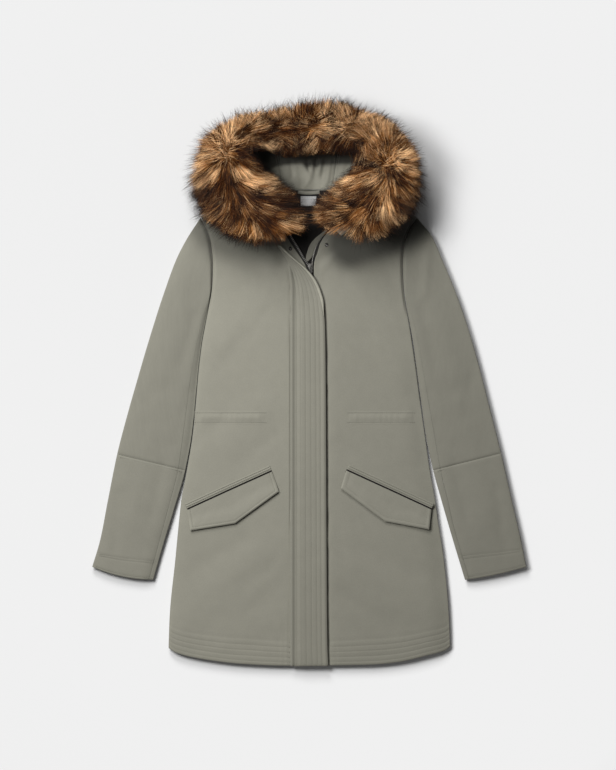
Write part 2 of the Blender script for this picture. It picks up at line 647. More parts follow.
def spaced(edges, step, fine):
    """Places from 0 to a length: close together beside each given place, a step apart elsewhere."""
    places = set()
    length = max(edges)
    for edge in edges:
        for near in fine:
            places.update((edge - near, edge + near))
    for k in range(int(length / step) + 1):
        spot = k * step
        if all(abs(spot - edge) > fine[-1] for edge in edges):
            places.add(spot)
    kept = sorted(place for place in places if 0.0 <= place <= length)
    return np.array([place for k, place in enumerate(kept) if k == 0 or place - kept[k - 1] > 0.25])


# -------- sewing
STITCH = {"pitch": 3.6, "length": 2.7, "width": 0.75, "height": 0.42}
thread_runs = {}


def stitch_row(group, *columns):
    """Keeps a line of stitches on the cloth for one of the sewing pieces, millimetres."""
    thread_runs.setdefault(group, []).append(np.column_stack(columns))


def stitch_form():
    """Points of one lozenge of thread, lying along x, and its faces."""
    length, width, height = STITCH["length"], STITCH["width"], STITCH["height"]
    form = [(-0.5 * length, 0.0, -0.1)]
    for x in (-0.28 * length, 0.28 * length):
        form += [(x, -0.5 * width, 0.0), (x, 0.0, height), (x, 0.5 * width, 0.0), (x, 0.0, -0.25)]
    form.append((0.5 * length, 0.0, -0.1))
    faces = [(0, 1 + k, 1 + (k + 1) % 4) for k in range(4)]
    faces += [(9, 5 + (k + 1) % 4, 5 + k) for k in range(4)]
    faces += [(1 + k, 5 + k, 5 + (k + 1) % 4, 1 + (k + 1) % 4) for k in range(4)]
    return np.array(form), faces


def sewn_along(run, form):
    """Points of the stitches along one line, each turned to lie along it."""
    steps = np.linalg.norm(np.diff(run, axis=0), axis=1)
    total = np.concatenate(([0.0], np.cumsum(steps)))
    count = max(1, int(total[-1] / STITCH["pitch"]))
    spots = (np.arange(count) + 0.5) * total[-1] / count
    here, ahead, behind = (np.stack([np.interp(spots + step, total, run[:, axis])
                                     for axis in range(3)], -1) for step in (0.0, 0.8, -0.8))
    forward = unit(ahead - behind)
    across = unit(np.cross((0.0, 0.0, 1.0), forward))
    up = np.cross(forward, across)
    return (here[:, None] + form[None, :, :1] * forward[:, None]
            + form[None, :, 1:2] * across[:, None] + form[None, :, 2:] * up[:, None]).reshape(-1, 3)


def make_threads():
    """Every row of stitches as short lozenges of thread, one joined piece for each group of rows."""
    form, form_faces = stitch_form()
    for group, runs in thread_runs.items():
        points = np.concatenate([sewn_along(run, form) for run in runs])
        faces = [tuple(base + v for v in face) for base in range(0, len(points), len(form))
                 for face in form_faces]
        add_piece(f"stitches_{group}", points, faces, thread)


# -------- body
def patch(bottom, top, left, right, s, t):
    """Plan points inside four edges that meet at their ends."""
    s, t = s[:, :, None], t[:, :, None]
    b0, b1, t0, t1 = bottom(0.0), bottom(1.0), top(0.0), top(1.0)
    corners = (1 - s) * ((1 - t) * b0 + t * b1) + s * ((1 - t) * t0 + t * t1)
    return ((1 - s) * bottom(t[:, :, 0]) + s * top(t[:, :, 0])
            + (1 - t) * left(s[:, :, 0]) + t * right(s[:, :, 0]) - corners)


def round_edges(distance, rounded):
    """Profile of a wall at a distance from its edge: (inset of the inner side, share of height)."""
    turn = np.arccos(np.clip(1.0 - distance / RING_RADIUS, -1.0, 1.0))
    return rounded * WALL * np.cos(turn), 1.0 - rounded * (1.0 - np.sin(turn))


def hem_y(x):
    """Height of the hem's edge, y, at a place across the parka."""
    return through(HEM["x"], HEM["y"], x)


def hem_line(low, high, lift=0.0):
    """The hem from one x to another, as a function of the share of the way."""
    def line(t):
        x = low + (high - low) * np.asarray(t, dtype=float)
        return np.stack([x, hem_y(x) + lift], axis=-1)
    return line


def side_line(which, lift):
    """A side seam and armhole, from the hem up."""
    def line(s):
        low = HEM_CORNER_Y[which] + lift
        y = low + (SHOULDER_Y - low) * np.asarray(s, dtype=float)
        return np.stack([side(which, y), y], axis=-1)
    return line


def edge_line(rows):
    """A front's free edge, from the hem up."""
    def line(s):
        y = rows["y"][0] + (rows["y"][-1] - rows["y"][0]) * np.asarray(s, dtype=float)
        return np.stack([x_at(rows, "x", y), y], axis=-1)
    return line


def panel_grid(width, is_back, step, fine):
    """Distances from the side and from the top of a panel, close together at edges and stitch rows."""
    turn = RING_RADIUS * (1.0 - np.cos(np.radians(np.linspace(0.0, 90.0, 9))))
    run = np.concatenate([turn, np.arange(turn[-1] + 2.5, width - (9.0 if is_back else 7.0), step)])
    if is_back:
        run = np.concatenate([run, width - turn[::-1]])
    else:
        run = np.concatenate([run, width - np.array([5.0, 3.4, 2.0, 1.1, 0.5, 0.0])])
    if fine:
        near, far = width - fine[1], width - fine[0]
        run = np.concatenate([run[run < near], np.arange(near, far, 1.15), run[run > far]])
    rise = spaced([0.0, *HEM_ROWS], step, (0.0, 0.7, 1.6))
    rise = rise[rise <= HEM_ROWS[-1] + 1.6]
    rise = np.concatenate([rise, np.arange(rise[-1] + 3.0, PANEL_LENGTH - turn[-1] - 2.0, 1.4 * step),
                           PANEL_LENGTH - turn[::-1]])
    return np.meshgrid(run, rise)


def front_relief(x, rise, d_side, width, rounded):
    """Height of a front's hem, quilted in rows, and of its sunk seams, and how worn its edges are."""
    hem_roll = 1.6 * fading(rise, 1.3)
    rows_in = sum(groove(rise - place, 2.0) for place in HEM_ROWS)
    pucker = np.sin(x * 0.62 + 1.3 * np.sin(x * 0.11))
    hem_zone = 1.0 - smooth(HEM_ROWS[-1], HEM_ROWS[-1] + 14.0, rise)
    seam = 3.4 * (1.0 - rounded) * bell(d_side, 3.2) + 1.4 * bell(width - d_side, 1.2)
    relief = -hem_roll - 0.30 * rows_in + hem_zone * (0.30 + 0.10 * pucker) - seam
    return relief, 0.9 * fading(rise, 2.0) + 0.5 * fading(width - d_side, 2.0) + 0.25 * rows_in


def panel(name, edges, width, is_back, step, fine=None):
    """A front or the back, rounded over at side and shoulder seams, its hem sewn in rows."""
    which = "right" if "right" in name else "left"
    d_side, rise = panel_grid(width, is_back, step, fine)
    d_top = PANEL_LENGTH - rise
    s_row, t_row = rise / PANEL_LENGTH, d_side / width
    y_row = HEM_CORNER_Y["left"] + (SHOULDER_Y - HEM_CORNER_Y["left"]) * s_row
    rounded = 1.0 - smooth(UNDERARM_Y - 26.0, UNDERARM_Y, y_row)
    if is_back:
        crown = 1.0 - smooth(0.30, 0.36, t_row) * (1.0 - smooth(0.64, 0.70, t_row))
    else:
        crown = 1.0 - smooth(0.50, 0.60, t_row)
    inset_l, share = round_edges(np.minimum(d_side, RING_RADIUS), rounded)
    share = np.maximum(share, 0.0) ** EDGE_FULLNESS[which]
    inset_l, inset_r = inset_l * (d_side < 0.5 * width), 0.0
    if is_back:
        inset_r, share_r = round_edges(np.minimum(width - d_side, RING_RADIUS), rounded)
        share, inset_r = share * share_r, inset_r * (d_side > 0.5 * width)
    inset_t, share_t = round_edges(np.minimum(d_top, RING_RADIUS), crown)
    share = share * share_t
    plan_out = patch(*edges, s_row, t_row)
    plan_in = patch(*edges, s_row - inset_t / PANEL_LENGTH, t_row + (inset_l - inset_r) / width)
    x, y = plan_out[:, :, 0], plan_out[:, :, 1]
    lift = 0.5 * SEAM_GAP
    if is_back:
        z_out = MID - lift - (MID - lift) * share
        z_in = MID - lift - (MID - lift - WALL) * share
        worn, cloth = 0.0, shell_cloth
    else:
        relief, worn = front_relief(x, rise, d_side, width, rounded)
        z_out = MID + lift + (front_top(x, y) - MID - lift + relief) * share
        z_in = MID + lift + (TOP - MID - lift - WALL - 0.5) * share
        z_in = np.minimum(z_in, z_out - 0.8)
        cloth = front_cloth[which]
    made = wall(f"{name}_cloth", np.dstack([plan_out, z_out]), np.dstack([plan_in, z_in]), cloth,
                "shell_cloth", worn=worn, shade=under_fur(x, y))
    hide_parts(name)
    return made


def hem_stitches(edges):
    """The rows of stitches that quilt a front's hem."""
    columns = np.linspace(0.02, 1.0, 160)[None, :]
    for place in HEM_ROWS:
        line = patch(*edges, np.full_like(columns, place / PANEL_LENGTH), columns)[0]
        stitch_row("hem", line, front_top(*line.T) - 0.30)


def make_body():
    """Two fronts, sewn in rows at the hem and along the neck, and the back under them."""
    ends = {which: float(side(which, y)) for which, y in HEM_CORNER_Y.items()}
    for which, edge, yoke, fine in (("left", EDGE_LEFT, YOKE_LEFT, (37.0, 53.0)),
                                    ("right", EDGE_RIGHT, YOKE_RIGHT, (20.0, 47.0))):
        edges = (hem_line(ends[which], edge["x"][0]), lambda t, yoke=yoke: along(yoke, t),
                 side_line(which, 0.0), edge_line(edge))
        made = panel(f"front_{which}", edges, FRONT_WIDTH, False, 5.2, fine)
        hem_stitches(edges)
        for inset in (4.0, 9.5):
            y = np.linspace(206.0, 268.0, 40)
            x = x_at(edge, "x", y) + (-inset if which == "left" else inset)
            stitch_row("neck", x, y, front_top(x, y) - 0.05)
    edges = (hem_line(ends["left"], ends["right"], BACK_HEM_LIFT), lambda t: along(YOKE_BACK, t),
             side_line("left", BACK_HEM_LIFT), side_line("right", BACK_HEM_LIFT))
    made = panel("back", edges, 2.0 * FRONT_WIDTH, True, 11.0)


# -------- sleeves
def ring_points(width, run):
    """Points of flattened tube sections, run measured from the outer edge over the top."""
    r = RING_RADIUS
    quarter = 0.5 * math.pi * r
    flat = width - 2.0 * r
    a = run / r
    b = (run - quarter - flat) / r
    c = (run - 3.0 * quarter - 2.0 * flat) / r
    low = width - r - (run - 3.0 * quarter - flat)
    zones = [run <= quarter, run <= quarter + flat, run <= 3.0 * quarter + flat,
             run <= 3.0 * quarter + 2.0 * flat]
    zero, one = np.zeros_like(run), np.ones_like(run)
    d = np.select(zones, [r - r * np.cos(a), r + run - quarter, width - r + r * np.sin(b), low],
                  r - r * np.sin(c))
    z = np.select(zones, [r * np.sin(a), r * one, r * np.cos(b), -r * one], -r * np.cos(c))
    nd = np.select(zones, [-np.cos(a), zero, np.sin(b), zero], -np.sin(c))
    nz = np.select(zones, [np.sin(a), one, np.cos(b), -one], -np.cos(c))
    return d, z, nd, nz


def sleeve_edges(which, at):
    """Outer and inner edge of a sleeve, the inner edge kept clear of the body's side."""
    outer, inner = (line_points(SLEEVES[which], edge, at) for edge in ("outer", "inner"))
    clear = SIDE_GAP if which == "right" else -SIDE_GAP
    limit = side(which, inner[:, 1]) + clear
    pushed = np.maximum(inner[:, 0], limit) if which == "right" else np.minimum(inner[:, 0], limit)
    inner[:, 0] = np.where(inner[:, 1] > -175.0, pushed, inner[:, 0])
    return outer, inner


def sleeve_plan(which, at, fraction):
    """Plan points of a sleeve: table rows (n), and shares of the way from outer to inner edge (n, m)."""
    outer, inner = sleeve_edges(which, at)
    start, end = (line_points(SLEEVES[which], edge, 0.0) for edge in ("outer", "inner"))
    share = fraction[:, :, None]
    seam_y = start[1] + (end[1] - start[1]) * fraction
    seam_x = side(which, seam_y) + (ARMHOLE_GAP if which == "right" else -ARMHOLE_GAP)
    chord = start + (end - start) * share
    cap = (np.maximum(0.0, 1.0 - at / 1.6) ** 2)[:, None, None]
    bow = (CUFF_BOW[which] * np.maximum(0.0, at - ELBOW_ROW - 2.0))[:, None] \
        * 4.0 * fraction * (1.0 - fraction)
    point = outer[:, None] + (inner - outer)[:, None] * share
    point = point + cap * (np.dstack([seam_x, seam_y]) - chord)
    point[:, :, 1] -= bow
    return point


def sleeve_grid(which, rows_at, over, fine):
    """Outer and inner points of one sleeve panel: over the top, or round the inner edge and under."""
    r = RING_RADIUS
    quarter, half_gap = 0.5 * math.pi * r, 0.5 * SEAM_GAP
    outer, inner = sleeve_edges(which, rows_at)
    width = np.hypot(*(inner - outer).T)[:, None]
    flat = width - 2.0 * r
    total = 2.0 * flat + 4.0 * quarter
    seam = quarter + flat + r - row(SLEEVES[which], "seam", rows_at)[:, None]
    if over:
        turn = np.broadcast_to(np.linspace(half_gap, quarter, 8), (len(width), 8))
        middle = quarter + (seam - half_gap - quarter) * np.linspace(0.0, 1.0, fine)[None, 1:]
        runs = np.concatenate([turn, middle], axis=1)
    else:
        edge = quarter + flat
        first = seam + half_gap + (edge - seam - half_gap) * np.linspace(0.0, 1.0, 4)[None, :-1]
        turn = edge + 2.0 * quarter * np.linspace(0.0, 1.0, 12)[None, :]
        under = edge + 2.0 * quarter + flat * np.linspace(0.0, 1.0, 8)[None, 1:]
        last = total - quarter + (quarter - half_gap) * np.linspace(0.0, 1.0, 7)[None, 1:]
        runs = np.concatenate([first, turn, under, last], axis=1)
    d, z, nd, nz = ring_points(np.broadcast_to(width, runs.shape), runs)
    upward = np.maximum(0.0, nz)
    out = sleeve_plan(which, rows_at, d / width)
    back = sleeve_plan(which, rows_at, (d - nd * WALL) / width)
    x, y = out[:, :, 0], out[:, :, 1]
    lift = folds(SLEEVE_FOLDS, x, y) * upward
    near_body = 1.0 - smooth(ELBOW_ROW - 1.0, ELBOW_ROW + 1.5, rows_at)[:, None]
    sunk = 1.6 * bell(width - d, 14.0) + 4.8 * near_body * fading(width - d, 7.5)
    if which == "left":
        sunk = sunk + 2.6 * (1.0 - near_body) * fading(width - d, 10.0) + 2.2 * bell(d, 13.0)
    lift = lift - sunk * upward
    lift = lift + (0.20 * ripple(x, y, 70.0, 3.0) + 0.10 * ripple(x, y, 24.0, 4.0)) * upward
    fullness = np.where(d < 0.5 * width, EDGE_FULLNESS[which], 0.42)
    plump = np.where(z > 0.0, r * np.clip(z / r, 0.0, 1.0) ** fullness - z, 0.0)
    lift = lift + plump
    z_out = MID + z + lift
    z_in = MID + z + 0.8 * plump - nz * WALL
    z_in = np.where(nz > 0.0, np.minimum(z_in, z_out - 1.0 * nz), z_in)
    return np.dstack([out, z_out]), np.dstack([back, z_in]), nz, runs - seam


def sleeve_rows():
    """Places of the rows of points in the upper and the lower part of a sleeve, close at its seams."""
    gap = 0.5 * SEAM_GAP / ELBOW_STEP
    upper = np.concatenate([[0.0, 0.02, 0.05, 0.1, 0.16], np.linspace(0.24, ELBOW_ROW - 0.1, 96),
                            [ELBOW_ROW - 0.055, ELBOW_ROW - 0.025, ELBOW_ROW - 0.01, ELBOW_ROW - gap]])
    edges = [CUFF_ROW - place / CUFF_STEP for place in CUFF_ROWS]
    near = [edge + step / CUFF_STEP for edge in edges for step in (-1.6, -0.7, 0.0, 0.7, 1.6)]
    lower = np.concatenate([[ELBOW_ROW + gap, ELBOW_ROW + 0.01, ELBOW_ROW + 0.025, ELBOW_ROW + 0.055],
                            np.linspace(ELBOW_ROW + 0.1, CUFF_ROW - 0.62, 34), sorted(near),
                            np.linspace(CUFF_ROW - 0.4, CUFF_ROW - 0.12, 6),
                            [CUFF_ROW - 0.02, CUFF_ROW - 0.008, CUFF_ROW]])
    lower = np.unique(np.round(np.clip(lower, ELBOW_ROW + gap, CUFF_ROW), 5))
    return {"upper": upper, "lower": lower}


def sleeve_panel(which, part, over, rows_at):
    """One of the four panels of a sleeve, sunk at its seams and rolled at the cuff."""
    outer, inner, nz, from_seam = sleeve_grid(which, rows_at, over, 30)
    at = rows_at[:, None]
    from_cuff = (CUFF_ROW - at) * CUFF_STEP
    armhole = 5.4 * bell(at * SLEEVE_STEP, 4.4) if part == "upper" else 0.0
    elbow = 1.0 * bell((at - ELBOW_ROW) * SLEEVE_STEP, 1.4)
    cuff = sum(groove(from_cuff - place, 2.0) for place in CUFF_ROWS)
    roll = 1.4 * fading(from_cuff, 1.1)
    long_seam = (0.35 if part == "lower" else 0.0) * bell(from_seam, 1.6)
    outer[:, :, 2] -= np.maximum(0.0, nz) * (armhole + elbow + 0.35 * cuff + roll + long_seam)
    kind = f"{part}_{'top' if over else 'under'}"
    name = f"sleeve_{which}_{kind}"
    made = wall(f"{name}_cloth", outer, inner, sleeve_cloth[which], "shell_cloth",
                worn=0.8 * fading(from_cuff, 2.0) + 0.2 * cuff,
                shade=under_fur(outer[:, :, 0], outer[:, :, 1]))
    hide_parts(name)


def make_sleeves():
    """Two-piece sleeves with a seam at the elbow, a sunk armhole seam and a turned cuff."""
    for which in ("left", "right"):
        for part, rows_at in sleeve_rows().items():
            for over in (True, False):
                sleeve_panel(which, part, over, rows_at)
        for at in (ELBOW_ROW + 0.05, *(CUFF_ROW - place / CUFF_STEP for place in CUFF_ROWS)):
            fraction = np.linspace(0.045, 0.955, 90)[None, :]
            line = sleeve_plan(which, np.array([at]), fraction)[0]
            outer_end, inner_end = sleeve_edges(which, np.array([at]))
            width = float(np.hypot(*(inner_end - outer_end)[0]))
            d = fraction[0] * width
            near_edge = np.minimum(np.minimum(d, width - d) / RING_RADIUS, 1.0)
            z = MID + RING_RADIUS * np.sqrt(np.clip(1.0 - (1.0 - near_edge) ** 2, 0.0, 1.0))
            z = z + folds(SLEEVE_FOLDS, *line.T) - 0.18
            stitch_row("sleeves", line, z)


# -------- what lies on the fronts
FLAP_ENDS = (-511.0, 246.0)


def flap_line(fraction, y):
    """Where a share of the storm flap's width lies across the parka."""
    sewn, free = x_at(FLAP, "sewn_x", y), x_at(FLAP, "free_x", y)
    return sewn + (free - sewn) * fraction


def flap_height(fraction, x, y):
    """Upper side of the storm flap: a narrow roll along its seam, quilted rows and a rounded edge."""
    width = x_at(FLAP, "free_x", y) - x_at(FLAP, "sewn_x", y)
    run, from_edge = fraction * width, (1.0 - fraction) * width
    faded = smooth(196.0, 214.0, y)
    roll = 3.4 * smooth(-0.6, 1.7, run) - 1.9 * smooth(2.0, 7.4, run) + 2.5 * smooth(8.0, 20.0, run)
    soft = -0.8 + (LAYER + 0.8) * smooth(0.0, 0.75, fraction)
    rise = roll + (soft - roll) * faded
    rows_in = sum(groove((fraction - place) * width, 2.0) for place in FLAP_ROWS) * (1.0 - 0.7 * faded)
    pucker = np.sin(y * 0.30 + 1.6 * np.sin(y * 0.083) + 9.0 * fraction) * 0.10
    edge = 1.2 * bell(from_edge, 1.0)
    bias = 1.1 * bell(from_edge - 1.6, 1.2) - 0.6 * groove(from_edge - 4.0, 1.6) \
        - 0.5 * groove(from_edge - 7.5, 1.6)
    lip = 0.7 * bell(from_edge - 4.5, 3.0) + smooth(150.0, 196.0, y) * bias
    return (front_level(x, y) + LAY_GAP + rise - 0.38 * rows_in - edge + lip + pucker
            + 0.12 * ripple(x, y, 38.0, 6.0))


def make_flap():
    """The storm flap over the zip, narrowing where it bends away to the neck."""
    low, high = FLAP_ENDS
    ys = np.concatenate([[low, -510.2, -508.8, -506.5, -504.0], np.arange(-500.0, 90.0, 7.0),
                         np.arange(92.0, high + 0.1, 2.8)])
    edges = [0.0, 1.7, 4.0, 7.0, *(place * FLAP_WIDTH for place in FLAP_ROWS), 57.0, 60.0, FLAP_WIDTH]
    fractions = spaced(edges, 3.0, (0.0, 0.8, 1.7))[None, :] / FLAP_WIDTH
    ys = ys[:, None]
    y = np.broadcast_to(ys, (len(ys), fractions.size)).copy()
    x = flap_line(fractions, y)
    y = np.maximum(y, hem_y(x) - 0.8 + (ys - low))
    roll = 1.5 * fading(ys - low, 1.4) + 0.6 * fading(high - ys, 2.0)
    under = front_level(x, y) + LAY_GAP - 0.1 - 1.0 * smooth(196.0, 214.0, y)
    worn = (0.55 + 0.6 * smooth(150.0, 196.0, y)) * bell((1.0 - fractions) * FLAP_WIDTH, 2.2)
    made = slab("storm_flap_cloth", np.dstack([x, y]), under,
                np.maximum(flap_height(fractions, x, y) - roll, under + 0.6), flap_cloth, worn=worn)
    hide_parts("storm_flap")
    run = np.linspace(-507.0, 238.0, 420)
    for place in (*FLAP_ROWS, 0.955):
        x = flap_line(place, run)
        stitch_row("flap", x, run, flap_height(place, x, run) + 0.05)


def make_binding():
    """A narrow folded strip that binds the storm flap's free edge where it bends away at the neck."""
    ys = np.arange(120.0, FLAP_ENDS[1] + 0.1, 2.0)[:, None]
    across = np.linspace(-1.0, 1.0, 9)[None, :]
    half = BINDING["half"] * smooth(118.0, 150.0, ys) + 0.4
    y = np.broadcast_to(ys, (len(ys), across.size))
    free = x_at(FLAP, "free_x", ys)
    x = free - BINDING["inset"] + across * half
    width = free - x_at(FLAP, "sewn_x", ys)
    fraction = np.clip((x - free + width) / width, 0.0, 0.97)
    level = flap_height(fraction, x, y).max(axis=1)[:, None]
    made = slab("storm_flap_binding", np.dstack([x, y]), level - 0.9,
                level + 0.15 + 0.9 * (1.0 - across ** 2), binding_cloth)


WELT_ROWS = (3.4, 7.6)       # stitch rows, up from the slot
WELT_START = 1.3
WELT_WIDTH = 10.5


def pocket_line(rows, name, us):
    """Points on the slot or the free edge of a pocket flap, 0 and 2 at its ends and 1 at its point."""
    return np.stack([np.interp(us, (0, 1, 2), rows[f"{name}_{axis}"]) for axis in "xy"], axis=-1)


def from_ends(us, slot):
    """Distance from the nearer end of a pocket, millimetres."""
    return np.minimum(us, 2.0 - us) * 0.5 * np.hypot(*(slot[-1] - slot[0]))


def pocket_share(rows, points):
    """How far points lie from the slot of a pocket towards its free edge, as a share."""
    slot_y, edge_y = (np.interp(points[:, 0], *(rows[f"{name}_{axis}"][np.argsort(rows[f"{name}_x"])]
                                                for axis in "xy")) for name in ("slot", "edge"))
    return np.clip((slot_y - points[:, 1]) / (slot_y - edge_y), 0.0, 1.0)


def make_pocket_flap(which, rows, us, slot):
    """A flap with a pointed free edge that stands off the front."""
    vs = np.unique(np.concatenate([np.linspace(0.0, 1.0, 22), [0.015, 0.985, 0.965, 0.9, 0.88]]))
    vs = vs[:, None]
    edge = pocket_line(rows, "edge", us)
    depth = np.hypot(*(edge - slot).T)
    start = slot + (edge - slot) * (1.5 / depth)[:, None]
    plan = start + (edge - start) * vs[:, :, None]
    x, y = plan[:, :, 0], plan[:, :, 1]
    inset = POCKET_INSET[which]
    away = np.minimum(from_ends(us, slot), (1.0 - vs) * depth)
    under = front_level(x, y) + LAY_GAP - 0.1 + POCKET_LIFT * smooth(0.35, 1.0, vs)
    relief = (-1.3 * bell(away, 1.3) - 0.45 * groove(away - inset, 2.2)
              + 0.6 * smooth(inset, inset + 14.0, away) + 0.10 * ripple(x, y, 21.0, 7.0))
    made = slab(f"pocket_flap_{which}_cloth", plan, under, under + POCKET_LAYER + relief,
                front_cloth[which], worn=0.8 * fading(away, 2.2))
    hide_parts(f"pocket_flap_{which}")


def pocket_stitches(which, rows, slot):
    """A row down one end of the flap, along its pointed edge and up the other end."""
    inset = POCKET_INSET[which]
    u_in = 2.0 * inset / float(np.hypot(*(slot[-1] - slot[0])))
    corners = []
    for u, share in ((u_in, 0.02), (u_in, None), (1.0, None), (2.0 - u_in, None), (2.0 - u_in, 0.02)):
        top, bottom = pocket_line(rows, "slot", u), pocket_line(rows, "edge", u)
        if share is None:
            share = 1.0 - inset / float(np.hypot(*(bottom - top)))
        corners.append(top + (bottom - top) * share)
    for one, two in zip(corners, corners[1:]):
        line = one + (two - one) * np.linspace(0.0, 1.0, 40)[:, None]
        z = front_level(*line.T) + LAY_GAP + POCKET_LAYER - 0.45
        z = z + POCKET_LIFT * smooth(0.35, 1.0, pocket_share(rows, line))
        stitch_row("pockets", line, z)


def make_pocket_mouth(which, slot, up):
    """The dark of the pocket that shows between its flap and its welt."""
    plan = slot + up * np.array([-5.0, 4.5])[:, None, None]
    level = front_level(plan[:, :, 0], plan[:, :, 1])
    made = slab(f"pocket_mouth_{which}", plan, level - 0.5, level + 0.35, lining_cloth, "lining")


def make_pocket_welt(which, us, slot, up):
    """A narrow strip above the slot, sewn down in two rows."""
    ws = np.array([WELT_START, 1.8, 2.6, 3.0, 3.4, 3.9, 4.6, 5.6, 6.7, 7.2, 7.6, 8.1, 8.9, 9.8,
                   WELT_WIDTH])[:, None]
    plan = slot + up * ws[:, :, None]
    under = front_level(plan[:, :, 0], plan[:, :, 1]) + LAY_GAP - 0.1
    edge_drop = 0.9 * fading(ws - WELT_START, 0.8) + 0.8 * fading(WELT_WIDTH - ws, 0.8)
    made = slab(f"pocket_welt_{which}_cloth", plan, under,
                under + 0.7 * POCKET_LAYER - edge_drop - 0.6 * fading(from_ends(us, slot), 0.9)
                - 0.9 * groove(ws - WELT_ROWS[0], 1.5) - 0.9 * groove(ws - WELT_ROWS[1], 1.6),
                front_cloth[which], worn=0.7 * fading(ws, 1.5))
    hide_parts(f"pocket_welt_{which}")
    for place in WELT_ROWS:
        line = (slot + up * place)[3:-3]
        z = front_level(*line.T) + LAY_GAP + 0.7 * POCKET_LAYER - 0.5
        stitch_row("pockets", line, z)


def make_pockets():
    """Pointed flaps under a stitched welt."""
    us = np.unique(np.concatenate([np.linspace(0.0, 2.0, 61), [0.006, 0.015, 0.03, 0.06, 0.075],
                                   [1.925, 1.94, 1.97, 1.985, 1.994]]))
    for which, rows in POCKETS.items():
        slot = pocket_line(rows, "slot", us)
        run = slot[-1] - slot[0]
        up = np.array([-run[1], run[0]]) / np.hypot(*run)
        up = up if up[1] > 0 else -up
        make_pocket_flap(which, rows, us, slot)
        pocket_stitches(which, rows, slot)
        make_pocket_mouth(which, slot, up)
        make_pocket_welt(which, us, slot, up)


def make_waist():
    """Drawcord channels: narrow stitched bands, gathered into fine puckers."""
    bottom, top, inset = WAIST["low"], WAIST["high"], 3.0
    ys = [bottom, bottom + 0.6, bottom + 1.6, bottom + inset, *np.linspace(bottom + 5.0, top - 5.0, 8),
          top - inset, top - 1.6, top - 0.6, top]
    for which in ("left", "right"):
        start, end = WAIST[which]
        xs = np.linspace(start, end, 110)
        x, y = np.meshgrid(xs, ys)
        away = np.minimum(y - bottom, top - y)
        ends = np.minimum(x - start, end - x)
        swell = 0.25 * smooth(0.0, 2.4, away) + 0.75 * smooth(3.5, 11.5, away)
        swell = swell * smooth(0.0, 20.0, ends) - 0.35 * groove(away - inset, 1.8)
        gather = 0.11 * np.sin(x * 0.52 + 1.7 * np.sin(x * 0.09)) * smooth(2.0, 7.0, away)
        under = front_top(x, y) - 0.6
        fade = smooth(0.0, 9.0, ends)
        made = slab(f"waist_channel_{which}", np.dstack([x, y]), under,
                    under + 0.42 + 0.33 * fade + swell + gather * fade, front_cloth[which],
                    worn=0.45 * fading(away, 1.5))
        for place in (bottom + inset, top - inset):
            line_y = np.full_like(xs, place)
            stitch_row("waist", xs, line_y, front_top(xs, line_y) + 0.42)


# -------- turned and boxed metal
def lathe(name, profile, base, finish, sides=40):
    """A turned piece from (radius, height) points, from its centre out and down."""
    turns = 2.0 * math.pi * np.arange(sides) / sides
    points = [(base[0], base[1], base[2] + profile[0][1])]
    for radius, height in profile[1:]:
        points += [(base[0] + radius * math.cos(a), base[1] + radius * math.sin(a), base[2] + height)
                   for a in turns]
    faces = [(0, 1 + k, 1 + (k + 1) % sides) for k in range(sides)]
    for ring in range(len(profile) - 2):
        one, two = 1 + ring * sides, 1 + (ring + 1) * sides
        faces += [(one + k, two + k, two + (k + 1) % sides, one + (k + 1) % sides) for k in range(sides)]
    last = 1 + (len(profile) - 2) * sides
    faces.append(tuple(last + k for k in range(sides))[::-1])
    return add_piece(name, points, faces, finish, sharp=32.0)


def make_snaps():
    """Ring snaps: a raised rim round a dished face with a socket in its middle."""
    profile = ((0.0, 0.25), (0.9, 0.25), (1.15, 0.45), (1.3, 1.0), (1.5, 1.2), (2.0, 1.05), (2.4, 1.2),
               (2.7, 1.6), (2.95, 1.68), (3.2, 1.45), (3.3, 1.0), (3.35, 0.0))
    for which, x, y in zip(("left", "right"), SNAPS["x"], SNAPS["y"]):
        base = (x, y, float(front_top(x, y)) - 0.2)
        made = lathe(f"snap_{which}_ring", profile, base, dark_metal)
        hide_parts(f"snap_{which}")
        spring = ((0.0, 0.95), (0.55, 0.85), (0.85, 0.45), (0.9, 0.2))
        centre = (x - 0.2, y - 0.9, base[2] + 0.35)
        lathe(f"snap_{which}_socket", spring, centre, bright_metal, 16)


def block(shape, low, high):
    """Add a box between two corners to a shape."""
    for vert in bmesh.ops.create_cube(shape, size=1.0)["verts"]:
        for axis in range(3):
            vert.co[axis] = (low[axis] if vert.co[axis] < 0 else high[axis]) * MM


def tube_along(points, radius, sides=10):
    """Points and faces of a round wire along a path."""
    points = np.asarray(points, dtype=float)
    count = len(points)
    forward = unit(np.vstack([points[1:], points[-1:]]) - np.vstack([points[:1], points[:-1]]))
    guide = np.where(np.abs(forward[:, :1]) < 0.9, (1.0, 0.0, 0.0), (0.0, 1.0, 0.0))
    one = unit(np.cross(forward, guide))
    two = np.cross(forward, one)
    turns = 2.0 * math.pi * np.arange(sides) / sides
    ring = np.cos(turns)[None, :, None] * one[:, None] + np.sin(turns)[None, :, None] * two[:, None]
    made = (points[:, None] + radius * ring).reshape(-1, 3)
    faces = []
    for i in range(0, (count - 1) * sides, sides):
        faces += [(i + k, i + (k + 1) % sides, i + sides + (k + 1) % sides, i + sides + k)
                  for k in range(sides)]
    faces.append(tuple(range(sides))[::-1])
    faces.append(tuple((count - 1) * sides + k for k in range(sides)))
    return made, faces


